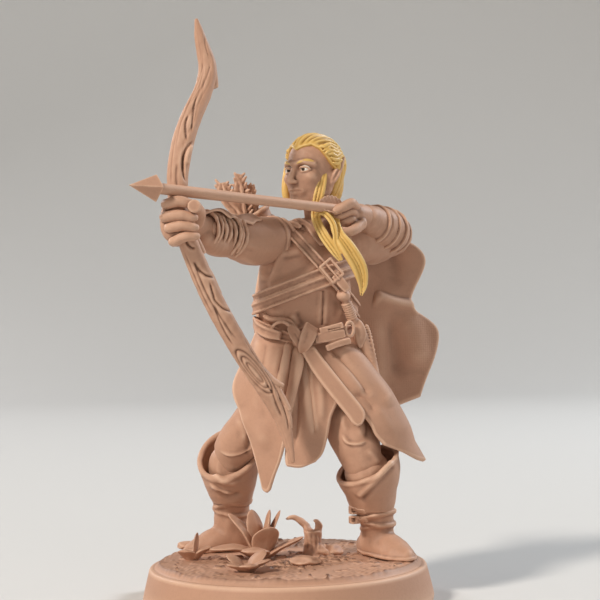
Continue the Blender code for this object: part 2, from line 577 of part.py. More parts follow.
def make_skirt():
    """The four panels that hang below the belts, clear of the legs."""
    for name, (angles, rows) in SKIRT.items():
        panel = sheet(name, (tuple(map(waist_point, angles)), *rows), 0.42)
        cut(panel, trunk(name + "_hips", TRUNK, GLUE_GAP),
            cutter_band(name + "_strap", HIP_STRAP_MIDDLE, HIP_STRAP_TILT, 0.8, 0.4),
            limb(name + "_sheath", SHEATH, GLUE_GAP))
        for side, leg in (("r", RIGHT_LEG), ("l", LEFT_LEG)):
            cut(panel, limb(f"{name}_leg_{side}", leg, GLUE_GAP, 14))


def make_belt_things():
    """The knot with its two tails, and the dagger in its sheath."""
    knot = ball("belt_knot", *KNOT, rounds=12)
    join(knot, *[limb(f"knot_end_{i}", path) for i, path in enumerate(KNOT_ENDS)])
    cut(knot, cutter_band("knot_belt", BELT_MIDDLE, BELT_TILT, 1.1, 0.5),
        cutter_band("knot_strap", HIP_STRAP_MIDDLE, HIP_STRAP_TILT, 0.8, 0.4),
        trunk("knot_hips", TRUNK, GLUE_GAP))
    tail = sheet("sash_tail", SASH_TAIL, 0.4, steps=3)
    cut(tail, ball("tail_knot", *KNOT, grow=GLUE_GAP),
        *[limb(f"tail_knot_end_{i}", path, GLUE_GAP) for i, path in enumerate(KNOT_ENDS)])
    place, size, lean = GUARD
    dagger = rod("dagger", Vector(place) + Vector((0, 0, 0.4)), (5.3, -2.5, 25.6), 0.42, sides=10)
    join(dagger, ball("pommel", (5.15, -2.6, 26.05), (0.58, 0.58, 0.55), rounds=10),
         ball("guard", place, size, lean, rounds=10))
    cut(dagger, cutter_band("dagger_belt", BELT_MIDDLE, BELT_TILT, 1.1, 0.5),
        cutter_band("dagger_strap", HIP_STRAP_MIDDLE, HIP_STRAP_TILT, 0.8, 0.4),
        cutter_band("dagger_baldric", BALDRIC_MIDDLE, BALDRIC_TILT, 1.0, 0.75),
        trunk("dagger_torso", TRUNK, GLUE_GAP))
    sheath = limb("dagger_sheath", SHEATH)
    cut(sheath, ball("sheath_guard", place, size, lean, GLUE_GAP, 10),
        cutter_band("sheath_strap", HIP_STRAP_MIDDLE, HIP_STRAP_TILT, 0.8, 0.4),
        cutter_band("sheath_belt", BELT_MIDDLE, BELT_TILT, 1.1, 0.5),
        trunk("sheath_hips", TRUNK, GLUE_GAP))


# ---------------------------------------------------------------- arms and hands

def make_right_arm():
    sleeve = limb("right_sleeve", RIGHT_UPPER_ARM, sides=14)
    cut(sleeve, trunk("sleeve_torso", TRUNK, GLUE_GAP), trunk("sleeve_collar", COLLAR, GLUE_GAP))
    join(sleeve, rod("right_arm_peg", *arm_peg(RIGHT_UPPER_ARM), 0.6))
    cut(sleeve, limb("sleeve_forearm", RIGHT_FOREARM, GLUE_GAP))
    ruffle = limb("right_sleeve_ruffle", RIGHT_RUFFLE, sides=14)
    cut(ruffle, limb("ruffle_forearm", RIGHT_FOREARM, GLUE_GAP),
        limb("ruffle_sleeve", RIGHT_UPPER_ARM, GLUE_GAP, 14),
        limb("ruffle_hollow", ((-5.35, -6.9, 31.15, 1.5), (-6.5, -8.6, 31.5, 2.6))))
    hand = limb("right_hand", HAND_R, sides=12)
    join(hand, limb("right_forearm", RIGHT_FOREARM))
    for i, z in enumerate((33.45, 32.65, 31.85, 31.05)):
        join(hand, limb(f"right_finger_{i}", (
            (-9.35, -10.3, z, 0.4), (-9.75, -11.4, z, 0.46), (-9.3, -12.5, z, 0.46),
            (-8.2, -12.95, z, 0.46), (-7.3, -12.6, z, 0.4)), sides=8, ref=(0, 0, 1)))
    join(hand, limb("right_thumb", ((-7.0, -10.4, 32.4, 0.55), (-6.7, -11.8, 32.9, 0.52),
                                    (-7.2, -12.75, 33.0, 0.45)), sides=8, ref=(0, 0, 1)))
    cut(hand, bow_space("hand_bow"), arrow_space("hand_arrow"),
        arrowhead("hand_arrowhead", GLUE_GAP * 2))


def make_left_arm():
    sleeve = limb("left_sleeve", LEFT_UPPER_ARM, sides=14)
    cut(sleeve, trunk("left_sleeve_torso", TRUNK, GLUE_GAP),
        trunk("left_sleeve_collar", COLLAR, GLUE_GAP),
        cutter_band("left_sleeve_wraps", (1.9, 0, 27.15), WRAP_TILT, 1.5, 0.4),
        cutter_band("left_sleeve_baldric", BALDRIC_MIDDLE, BALDRIC_TILT, 1.0, 0.75))
    join(sleeve, rod("left_arm_peg", *arm_peg(LEFT_UPPER_ARM), 0.6))
    cut(sleeve, limb("left_sleeve_vambrace", LEFT_FOREARM, GLUE_GAP, 14),
        *vambrace_rings("left_sleeve_ring", GLUE_GAP))
    vambrace = limb("left_vambrace", LEFT_FOREARM, sides=14)
    join(vambrace, *vambrace_rings("vambrace_ring"))
    cut(vambrace, limb("vambrace_hand", HAND_L, GLUE_GAP))
    hand = left_hand_parts("left_hand")
    hand = join(hand[0], *hand[1:])
    cut(hand, arrow_space("left_hand_arrow"), limb("hand_sleeve", LEFT_UPPER_ARM, GLUE_GAP, 14))


def vambrace_rings(name, grow=0.0):
    """The two raised rings round the left forearm."""
    low = Vector(LEFT_FOREARM[1][:3])
    high = Vector(LEFT_FOREARM[2][:3])
    step = (high - low).normalized() * 0.28
    middles = [low.lerp(high, share) for share in (0.3, 0.7)]
    return [rod(f"{name}_{i}", middle - step, middle + step, 2.05, grow, 14)
            for i, middle in enumerate(middles)]


def left_hand_parts(name, grow=0.0):
    """The palm and the three fingers on the string."""
    parts = [limb(name, HAND_L, grow, 12)]
    for i, (x, z) in enumerate(((4.75, 33.75), (4.6, 33.05), (4.85, 32.35))):
        path = ((6.0, -0.6, z, 0.45), (x + 0.5, -1.75, z, 0.45), (x - 0.25, -1.75, z, 0.4))
        parts.append(limb(f"{name}_finger_{i}", path, grow, 8, (0, 0, 1)))
    return parts


# ---------------------------------------------------------------- bow and arrows

def arrow_space(name):
    return rod(name, ARROW_TIP, ARROW_NOCK, ARROW_RADIUS, GLUE_GAP, 10)


def bow_space(name):
    return limb(name, BOW, GLUE_GAP, 10)


def make_bow():
    bow = limb("bow", BOW, sides=10)
    join(bow, limb("bow_horn_top", ((-5.8, -7.9, 44.6, 0.5), (-5.2, -7.8, 43.9, 0.4),
                                    (-4.95, -7.8, 43.1, 0.15)), sides=8))
    join(bow, limb("bow_horn_low", ((-1.3, -7.5, 18.9, 0.5), (-0.6, -7.4, 19.2, 0.4),
                                    (-0.25, -7.4, 19.0, 0.15)), sides=8))
    cut(bow, arrow_space("bow_rest"))


def arrowhead(name, grow=0.0):
    """The four-sided head, a pyramid from the tip to a flat back."""
    tip = Vector(ARROW_TIP)
    along = (Vector(ARROW_NOCK) - tip).normalized()
    length = ARROWHEAD_LENGTH + grow
    bm = bmesh.new()
    bmesh.ops.create_cone(bm, cap_ends=True, segments=4, radius1=ARROWHEAD_HALF + grow,
                          radius2=0.02, depth=length)
    aim = (-along).to_track_quat("Z", "Y").to_matrix().to_4x4()
    middle = tip + along * length / 2
    bmesh.ops.transform(bm, matrix=Matrix.Translation(middle) @ aim, verts=bm.verts)
    return new_object(name, bm)


def make_arrow():
    nock = Vector(ARROW_NOCK)
    along = (nock - Vector(ARROW_TIP)).normalized()
    neck = Vector(ARROW_TIP) + along * ARROWHEAD_LENGTH
    arrow = rod("arrow", neck - along * 0.5, nock, ARROW_RADIUS, sides=10)
    join(arrow, arrowhead("arrowhead"))
    for i, turn in enumerate((0, 120)):
        lift = Matrix.Rotation(math.radians(turn), 3, along) @ Vector((0, 0, 1))
        middle = nock - along * 3.4
        join(arrow, vane(f"arrow_vane_{i}", middle, along, lift, 2.2, 0.95))
    return arrow


def vane(name, middle, along, lift, length, height):
    """One feather of an arrow: a thin plate standing out along lift."""
    lift = (lift - along * lift.dot(along)).normalized()
    side = along.cross(lift) * 0.11
    ring = [middle - along * length / 2, middle + along * length / 2,
            middle + along * length / 2 + lift * height * 0.8,
            middle + along * length * 0.3 + lift * height, middle - along * length * 0.3 + lift * 0.6]
    return new_object(name, skin([[p - side for p in ring], [p + side for p in ring]]))


def make_quiver():
    quiver = limb("quiver", ((3.1, 6.1, 24.9, 0.85), (1.9, 5.8, 26.8, 1.15), (-0.9, 5.3, 31.2, 1.3),
                             (-2.5, 4.9, 33.9, 1.4)), sides=14)
    cut(quiver, sheet("quiver_cloak", CLOAK, 0.5 + 2 * GLUE_GAP))
    mouth = Vector((-2.5, 4.9, 33.9))
    along = Vector((-1.6, -0.4, 2.7)).normalized()
    cut(quiver, rod("quiver_mouth", mouth - along * 2.4, mouth + along, 1.05))
    bundle = rod("quiver_arrows", mouth - along * 2.3, mouth - along * 1.2, 0.98)
    for i, (x, y) in enumerate(((-0.45, -0.35), (0.5, -0.3), (0.0, 0.5))):
        root = mouth - along * 1.6 + Vector((x, y, 0))
        top = mouth + along * (2.6 + 0.5 * i) + Vector((x, y, 0)) * 2.4
        join(bundle, rod(f"quiver_shaft_{i}", root, top, 0.2, sides=8))
        shaft = (top - root).normalized()
        for k, turn in enumerate((20, 140, 260)):
            lift = Matrix.Rotation(math.radians(turn), 3, shaft) @ Vector((0, 1, 0))
            join(bundle, vane(f"quiver_vane_{i}{k}", top - shaft * 1.15, shaft, lift, 1.9, 0.75))


# ---------------------------------------------------------------- head, hair and cloak

def make_head():
    head = trunk("head", HEAD, sides=16)
    join(head, limb("neck", NECK))
    turn = Matrix.Rotation(math.radians(FACE_TURN), 3, "Z")
    nose = Vector((2.3, -0.8, 35.9)) + turn @ Vector((0, -2.15, 0))
    join(head, ball("nose", nose, (0.28, 0.45, 0.5), (0, 0.3, 1), rounds=8))
    for side in (-1, 1):
        place = Vector((2.7, -0.4, 36.2)) + turn @ Vector((side * 2.05, 0.3, 0))
        away = turn @ Vector((side * 0.75, 0.7, 0.9))
        join(head, ball(f"ear_{side}", place + away * 0.3, (0.28, 0.5, 1.05), away, rounds=8))
    hair = trunk("hair", HAIR, sides=16, paint="hair")
    cut(hair, trunk("hair_head", HEAD, GLUE_GAP, sides=16), limb("hair_neck", NECK, GLUE_GAP))
    front = turn @ Vector((0, -1, 0))
    middle = Vector((2.75, -0.4, 34.6)) + front * 3.4
    cut(hair, block("hair_face", middle, (6, 6.0, 6.4), (0, 0, 1), FACE_TURN))
    for side in (-1, 1):
        place = Vector((2.7, -0.4, 36.2)) + turn @ Vector((side * 2.05, 0.3, 0))
        away = turn @ Vector((side * 0.75, 0.7, 0.9))
        cut(hair, ball(f"hair_ear_{side}", place + away * 0.3, (0.28, 0.5, 1.05), away, GLUE_GAP, 8))


def make_locks():
    """The long locks that hang in front of the figure's left shoulder."""
    for name, path in LOCKS.items():
        lock = limb(name, path, sides=8, paint="hair")
        cut(lock, trunk(name + "_hair", HAIR, GLUE_GAP, sides=16),
            trunk(name + "_head", HEAD, GLUE_GAP, sides=16), arrow_space(name + "_arrow"),
            trunk(name + "_torso", TRUNK, GLUE_GAP), trunk(name + "_collar", COLLAR, GLUE_GAP),
            cutter_band(name + "_baldric", BALDRIC_MIDDLE, BALDRIC_TILT, 1.0, 0.75),
            *left_hand_parts(name + "_hand", GLUE_GAP),
            limb(name + "_sleeve", LEFT_UPPER_ARM, GLUE_GAP, 14))


def make_cloak():
    cloak = sheet("cloak", CLOAK, 0.5)
    cut(cloak, trunk("cloak_torso", TRUNK, GLUE_GAP), trunk("cloak_collar", COLLAR, GLUE_GAP))


def main():
    for old in list(bpy.data.objects):
        bpy.data.objects.remove(old)
    make_base()
    make_scenery()
    make_legs()
    make_boots()
    make_torso()
    make_bands()
    make_skirt()
    make_belt_things()
    make_right_arm()
    make_left_arm()
    make_bow()
    make_arrow()
    make_quiver()
    make_head()
    make_locks()
    make_cloak()


main()
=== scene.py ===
"""An archer miniature in tan resin with painted hair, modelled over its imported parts."""

import math

import bpy
import numpy as np
from mathutils import Matrix


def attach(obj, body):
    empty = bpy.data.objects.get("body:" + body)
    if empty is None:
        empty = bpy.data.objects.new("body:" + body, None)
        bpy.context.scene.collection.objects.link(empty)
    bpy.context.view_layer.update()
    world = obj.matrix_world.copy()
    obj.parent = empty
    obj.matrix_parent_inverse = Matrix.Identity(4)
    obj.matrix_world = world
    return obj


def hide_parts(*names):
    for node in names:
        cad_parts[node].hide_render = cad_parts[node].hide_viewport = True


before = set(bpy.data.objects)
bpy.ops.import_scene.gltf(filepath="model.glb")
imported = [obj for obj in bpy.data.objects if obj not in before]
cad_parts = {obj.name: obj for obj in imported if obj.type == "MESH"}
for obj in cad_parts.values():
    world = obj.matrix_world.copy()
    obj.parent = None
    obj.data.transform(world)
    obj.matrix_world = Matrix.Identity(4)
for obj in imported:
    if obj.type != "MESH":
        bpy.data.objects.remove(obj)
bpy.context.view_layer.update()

MM = 0.001
BODY = "root"
FAR = 9.0  # the distance given to empty clay, in mm
REACH = 0.7  # how far past a solid its distance is worked out
GROUND_Z = 3.7  # the height of the earth on the base
GRAIN = 1.0
WAVE_COUNT = 7
STROKE_REACH = 2.4  # how far a mark reaches to each side, in widths
PATH_STEPS = 5


# ---------------------------------------------------------------- curves


def curve(rows, steps=6):
    """A smooth line through the rows, every column alike."""
    rows = np.asarray(rows, float)
    if len(rows) < 3:
        share = np.linspace(0, 1, steps + 1)[:, None]
        return rows[0] * (1 - share) + rows[-1] * share
    ends = np.vstack([2 * rows[0] - rows[1], rows, 2 * rows[-1] - rows[-2]])
    t = np.linspace(0, len(rows) - 1, (len(rows) - 1) * steps + 1)
    i = np.minimum(t.astype(int), len(rows) - 2)
    f = (t - i)[:, None]
    a, b, c, d = (ends[i + k] for k in range(4))
    bend = 2 * a - 5 * b + 4 * c - d
    return 0.5 * (2 * b + (c - a) * f + bend * f**2 + (3 * b - a - 3 * c + d) * f**3)


def unit(v):
    v = np.asarray(v, float)
    return v / max(np.linalg.norm(v), 1e-9)


def spin(degrees):
    """A turn about the upright axis."""
    return np.array(Matrix.Rotation(math.radians(degrees), 3, "Z"))


def ease(t):
    t = np.clip(t, 0, 1)
    return t * t * (3 - 2 * t)


def waves(points, scale, seed):
    """A smooth random value from about -1 to 1 at each point, the same on each run."""
    rng = np.random.default_rng(seed)
    total = np.zeros(len(points))
    for _ in range(WAVE_COUNT):
        way = unit(rng.normal(size=3)) * rng.uniform(0.6, 1.6) * 2 * math.pi / scale
        total += np.sin(points @ way + rng.uniform(0, 2 * math.pi))
    return total / math.sqrt(WAVE_COUNT) / 1.4


# ---------------------------------------------------------------- forms


class Form:
    """Points and faces in mm, and the tool marks made on them."""

    def __init__(self, points, faces):
        self.points = np.asarray(points, float)
        self.faces = [np.asarray(f, int) for f in (faces if isinstance(faces, list) else [faces])]
        self.sheet = False  # one layer of points, which a mark works on from both sides

    def normals(self):
        total = np.zeros_like(self.points)
        for faces in self.faces:
            if faces.ndim == 1:
                continue
            corners = self.points[faces]
            if faces.shape[1] == 4:
                n = np.cross(corners[:, 2] - corners[:, 0], corners[:, 3] - corners[:, 1])
            else:
                n = np.cross(corners[:, 1] - corners[:, 0], corners[:, 2] - corners[:, 0])
            for k in range(faces.shape[1]):
                for axis in range(3):
                    total[:, axis] += np.bincount(faces[:, k], n[:, axis], minlength=len(total))
        size = np.linalg.norm(total, axis=1, keepdims=True)
        return total / np.maximum(size, 1e-12)

    def relax(self, times=1, amount=0.5):
        """Each point moves towards the middle of its neighbours."""
        quads = np.vstack([f for f in self.faces if f.ndim == 2 and f.shape[1] == 4])
        a = np.concatenate([quads[:, k] for k in range(4)])
        b = np.concatenate([quads[:, (k + 1) % 4] for k in range(4)])
        count = np.bincount(a, minlength=len(self.points))[:, None]
        for _ in range(times):
            sums = [np.bincount(a, self.points[b, axis], minlength=len(self.points)) for axis in range(3)]
            middle = np.stack(sums, axis=1) / np.maximum(count, 1)
            moved = self.points + amount * (middle - self.points)
            self.points = np.where(count > 0, moved, self.points)
        return self

    def stroke(self, path, width, height, side=0, facing=(0, -1, 0), taper=0.3, sharp=0.07):
        """Raises a ridge along a path, or a groove if height is below 0. A path of (x, z) pairs
        marks the surface that faces the given way. With side, only that side of it is raised."""
        path = curve(path, PATH_STEPS)
        flat = path.shape[1] == 2
        at = self.points[:, [0, 2]] if flat else self.points
        reach = STROKE_REACH * width
        near = (at > path.min(0) - reach) & (at < path.max(0) + reach)
        near = np.flatnonzero(near.all(1))
        if not len(near):
            return self
        at = at[near]
        lengths = np.linalg.norm(np.diff(path, axis=0), axis=1)
        starts = np.concatenate([[0], np.cumsum(lengths)])
        best = np.full(len(at), 1e9)
        along = np.zeros(len(at))
        across = np.zeros(len(at))
        for k, (a, b) in enumerate(zip(path, path[1:])):
            way = (b - a) / lengths[k]
            t = np.clip((at - a) @ way, 0, lengths[k])
            off = at - a - t[:, None] * way
            d = np.linalg.norm(off, axis=1)
            closer = d < best
            best[closer] = d[closer]
            along[closer] = (starts[k] + t[closer]) / starts[-1]
            if flat:
                turn = off[:, 0] * way[1] - off[:, 1] * way[0]
                across[closer] = np.sign(turn[closer]) * d[closer]
        lift = height * np.exp(-((best / width) ** 2))
        lift *= ease(np.minimum(along, 1 - along) / max(taper, 1e-3) + (taper == 0))
        if side:
            lift *= 0.5 + 0.5 * np.tanh(side * across / sharp)
        normals = self.normals()[near]
        if flat:
            toward = normals @ unit(facing)
            if self.sheet:
                normals = normals * np.sign(toward)[:, None]
                toward = np.abs(toward)
            lift *= np.clip(toward * 2.5, 0, 1)
        self.points[near] += normals * lift[:, None]
        return self

    def strokes(self, *marks, **more):
        """Several strokes in turn, each (path, width, height) with the same options."""
        for mark in marks:
            self.stroke(*mark, **more)
        return self

    def rough(self, amount, scale, seed):
        """Raises and lowers the surface in smooth random waves of that scale."""
        self.points += self.normals() * (amount * waves(self.points, scale, seed))[:, None]
        return self

    def moved(self, turn, to):
        self.points = self.points @ turn.T + to
        return self

    def polygons(self):
        made = []
        for faces in self.faces:
            made += [faces.tolist()] if faces.ndim == 1 else faces.tolist()
        return made


def together(*forms):
    """Several forms as one."""
    points, faces, count = [], [], 0
    for form in forms:
        points.append(form.points)
        faces += [f + count for f in form.faces]
        count += len(form.points)
    return Form(np.vstack(points), faces)


def grid_faces(rows, columns, loop=False):
    """The quads of a grid of points, row by row. With loop, each row closes on itself."""
    i, j = np.meshgrid(np.arange(rows - 1), np.arange(columns - (not loop)), indexing="ij")
    i, j = i.ravel(), j.ravel()
    k = (j + 1) % columns
    return np.stack([i * columns + j, i * columns + k, (i + 1) * columns + k, (i + 1) * columns + j], 1)


def rings(sections):
    """A closed skin over rings of points that run anticlockwise about the way they advance."""
    sections = np.asarray(sections)
    rows, columns = sections.shape[:2]
    start = np.arange(columns)[::-1]
    end = np.arange(columns) + (rows - 1) * columns
    return Form(sections.reshape(-1, 3), [grid_faces(rows, columns, loop=True), start, end])


def lathe(profile, count):
    angle = np.linspace(0, 2 * math.pi, count, endpoint=False)
    return rings([[(r * math.cos(a), r * math.sin(a), z) for a in angle] for r, z in profile])


def frames(path, hint=(0, 0, 1)):
    """For each point of a path: the way along it, a side and an out direction nearest the hint."""
    along = np.gradient(path, axis=0)
    along /= np.linalg.norm(along, axis=1, keepdims=True)
    hint = np.broadcast_to(np.asarray(hint, float), along.shape)
    side = np.cross(along, hint)
    side /= np.maximum(np.linalg.norm(side, axis=1, keepdims=True), 1e-9)
    return along, side, np.cross(side, along)


def turned_out(form):
    """The form with its faces turned round if they look inwards."""
    corners = form.points[form.faces[0]]
    n = np.cross(corners[:, 2] - corners[:, 0], corners[:, 3] - corners[:, 1])
    middle = corners.mean(1) - form.points.mean(0)
    if (n * middle).sum() <= 0:
        form.faces = [f[..., ::-1] for f in form.faces]
    return form


def sweep(rows, outline, hint, steps):
    """A tube along rows of (x, y, z, half width, half depth). outline is a ring of (side, out)
    pairs."""
    rows = curve(rows, steps)
    path = rows[:, :3]
    _, side, out = frames(path, hint)
    sections = []
    for k, row in enumerate(rows):
        ring = outline * row[3:5]
        sections.append(path[k] + ring[:, :1] * side[k] + ring[:, 1:] * out[k])
    return turned_out(rings(sections))


def circle(count, power=1.0):
    """A ring of (side, out) pairs. A power under 1 makes it squarer."""
    a = np.linspace(0, 2 * math.pi, count, endpoint=False)
    c, s = np.cos(a), np.sin(a)
    return np.stack([np.sign(c) * np.abs(c) ** power, np.sign(s) * np.abs(s) ** power], 1)


def round_ends(rows, share=1.0):
    """The rows with their ends drawn in to a rounded point."""
    rows = np.asarray(rows, float)
    tips = []
    for end, before in ((rows[0], rows[1]), (rows[-1], rows[-2])):
        tip = end.copy()
        tip[:3] += unit(end[:3] - before[:3]) * end[3] * share
        tip[3:] *= 0.08
        tips.append(tip)
    return np.vstack([tips[0], rows, tips[1]])


def surface(rows, across, down):
    """A smooth grid of points through rows of control points."""
    rows = np.asarray(rows, float)
    lines = np.stack([curve(r, across) for r in rows])
    return np.stack([curve(lines[:, k], down) for k in range(lines.shape[1])], axis=1)


def cloth(grid, thickness, marks=(), swell=0.55):
    """A sheet of that thickness over a grid of points, with rounded edges. Each of marks is a
    function that works on the sheet before it is thickened."""
    rows, columns = grid.shape[:2]
    form = Form(grid.reshape(-1, 3), grid_faces(rows, columns))
    form.sheet = True
    for mark in marks:
        mark(form)
    n = form.normals()
    mid = form.points
    half = thickness / 2
    edge = np.concatenate([
        np.arange(columns),
        np.arange(1, rows) * columns + columns - 1,
        np.arange(columns - 2, -1, -1) + (rows - 1) * columns,
        np.arange(rows - 2, 0, -1) * columns,
    ])
    along = np.roll(mid[edge], -1, 0) - np.roll(mid[edge], 1, 0)
    away = np.cross(along, n[edge])
    away /= np.maximum(np.linalg.norm(away, axis=1, keepdims=True), 1e-9)
    count = len(mid)
    points = [mid + n * half, mid - n * half]
    tilt = [(0.75, 0.72), (0.0, 1.0), (-0.75, 0.72)]
    for rise, out in tilt:
        points.append(mid[edge] + n[edge] * half * rise + away * half * out * swell * 1.6)
    layers = [edge] + [np.arange(len(edge)) + 2 * count + k * len(edge) for k in range(3)]
    layers.append(edge + count)
    faces = [form.faces[0], form.faces[0][:, ::-1] + count]
    for a, b in zip(layers, layers[1:]):
        faces.append(np.stack([np.roll(a, -1), a, b, np.roll(b, -1)], 1))
    return Form(np.vstack(points), faces)


# ---------------------------------------------------------------- clay


def smooth_min(a, b, soft):
    if soft <= 0:
        return np.minimum(a, b)
    h = np.clip(0.5 + 0.5 * (b - a) / soft, 0, 1)
    return b + (a - b) * h - soft * h * (1 - h)


def smooth_max(a, b, soft):
    return -smooth_min(-a, -b, soft)


# A solid is (distance, low, high): a function of x, y and z that is below 0 inside it, and two
# corners of its box.


def ellipsoid(centre, radii):
    centre, radii = np.array(centre, float), np.array(radii, float)

    def distance(x, y, z):
        p = (x - centre[0], y - centre[1], z - centre[2])
        k0 = np.sqrt(sum((p[i] / radii[i]) ** 2 for i in range(3)))
        k1 = np.sqrt(sum((p[i] / radii[i] ** 2) ** 2 for i in range(3)))
        return k0 * (k0 - 1) / np.maximum(k1, 1e-6)

    return distance, centre - radii.max(), centre + radii.max()


def capsule(a, b):
    """A round bar from a to b, each (x, y, z, radius)."""
    a, b = np.asarray(a, float), np.asarray(b, float)
    along = b[:3] - a[:3]
    size = max(along @ along, 1e-9)

    def distance(x, y, z):
        px, py, pz = x - a[0], y - a[1], z - a[2]
        t = np.clip((px * along[0] + py * along[1] + pz * along[2]) / size, 0, 1)
        gap = (px - t * along[0]) ** 2 + (py - t * along[1]) ** 2 + (pz - t * along[2]) ** 2
        return np.sqrt(gap) - (a[3] + t * (b[3] - a[3]))

    low = np.minimum(a[:3] - a[3], b[:3] - b[3])
    return distance, low, np.maximum(a[:3] + a[3], b[:3] + b[3])


def rod(a, b, start, end):
    """A round bar from a to b, with its radius at each."""
    return capsule(np.append(a, start), np.append(b, end))


def tube(rows, steps=PATH_STEPS):
    """A round bar along a smooth path of (x, y, z, radius)."""
    rows = curve(rows, steps)
    return [capsule(a, b) for a, b in zip(rows, rows[1:])]


def plank(a, b, half_thick, normal, rounding=0.06):
    """A flat bar from a to b, each (x, y, z, half width), whose flat face looks along normal."""
    middle = (a[:3] + b[:3]) / 2
    along = unit(b[:3] - a[:3])
    side = unit(np.cross(along, normal))
    out = np.cross(side, along)
    half = np.linalg.norm(b[:3] - a[:3]) / 2

    def distance(x, y, z):
        p = (x - middle[0], y - middle[1], z - middle[2])
        u, v, w = (sum(axis[i] * p[i] for i in range(3)) for axis in (side, out, along))
        share = np.clip(0.5 + w / (2 * half), 0, 1)
        u = np.abs(u) - (a[3] + share * (b[3] - a[3]) - rounding)
        v = np.abs(v) - (half_thick - rounding)
        w = np.abs(w) - half + 0 * u
        gap = np.sqrt(np.maximum(u, 0) ** 2 + np.maximum(v, 0) ** 2 + np.maximum(w, 0) ** 2)
        return gap + np.minimum(np.maximum(np.maximum(u, v), w), 0) - rounding

    pad = max(a[3], b[3], half_thick)
    return distance, np.minimum(a[:3], b[:3]) - pad, np.maximum(a[:3], b[:3]) + pad


def ribbon(rows, half_thick, normal, rounding=0.06):
    """A flat band along a smooth path of (x, y, z, half width). normal is one direction, or one
    for each row."""
    normal = np.asarray(normal, float)
    if normal.ndim == 1:
        normal = np.tile(normal, (len(rows), 1))
    full = curve(np.hstack([np.asarray(rows, float), normal]), PATH_STEPS)
    return [plank(a[:4], b[:4], half_thick, a[4:] + b[4:], rounding) for a, b in zip(full, full[1:])]


def levels(rows, cap=0.25):
    """A body from level ellipses of (x, y, z, half width, half depth, turn in degrees). cap is
    how soft its ends are."""
    rows = curve(rows)
    rows = rows[np.argsort(rows[:, 2])]
    low_z, high_z = rows[0, 2], rows[-1, 2]

    def distance(x, y, z):
        at = [np.interp(z.ravel(), rows[:, 2], rows[:, k]).reshape(z.shape) for k in (0, 1, 3, 4, 5)]
        cx, cy, wide, deep, turn = at
        c, s = np.cos(np.radians(turn)), np.sin(np.radians(turn))
        u, v = (x - cx) * c + (y - cy) * s, (y - cy) * c - (x - cx) * s
        k0 = np.sqrt((u / wide) ** 2 + (v / deep) ** 2)
        k1 = np.sqrt((u / wide**2) ** 2 + (v / deep**2) ** 2)
        gap = k0 * (k0 - 1) / np.maximum(k1, 1e-6)
        return smooth_max(gap, np.maximum(z - high_z, low_z - z) + 0 * gap, cap)

    reach = rows[:, 3:5].max()
    low, high = rows[:, :3].min(0) - (reach, reach, 0), rows[:, :3].max(0) + (reach, reach, 0)
    return distance, low, high


def block(centre, half, turn, rounding):
    """A box with rounded edges."""
    centre, half = np.array(centre, float), np.array(half, float)

    def distance(x, y, z):
        p = (x - centre[0], y - centre[1], z - centre[2])
        q = [sum(turn[j, i] * p[j] for j in range(3)) for i in range(3)]
        q = [np.abs(v) - (h - rounding) for v, h in zip(q, half)]
        gap = np.sqrt(sum(np.maximum(v, 0) ** 2 for v in q))
        return gap + np.minimum(np.maximum(np.maximum(q[0], q[1]), q[2]), 0) - rounding

    reach = np.linalg.norm(half)
    return distance, centre - reach, centre + reach


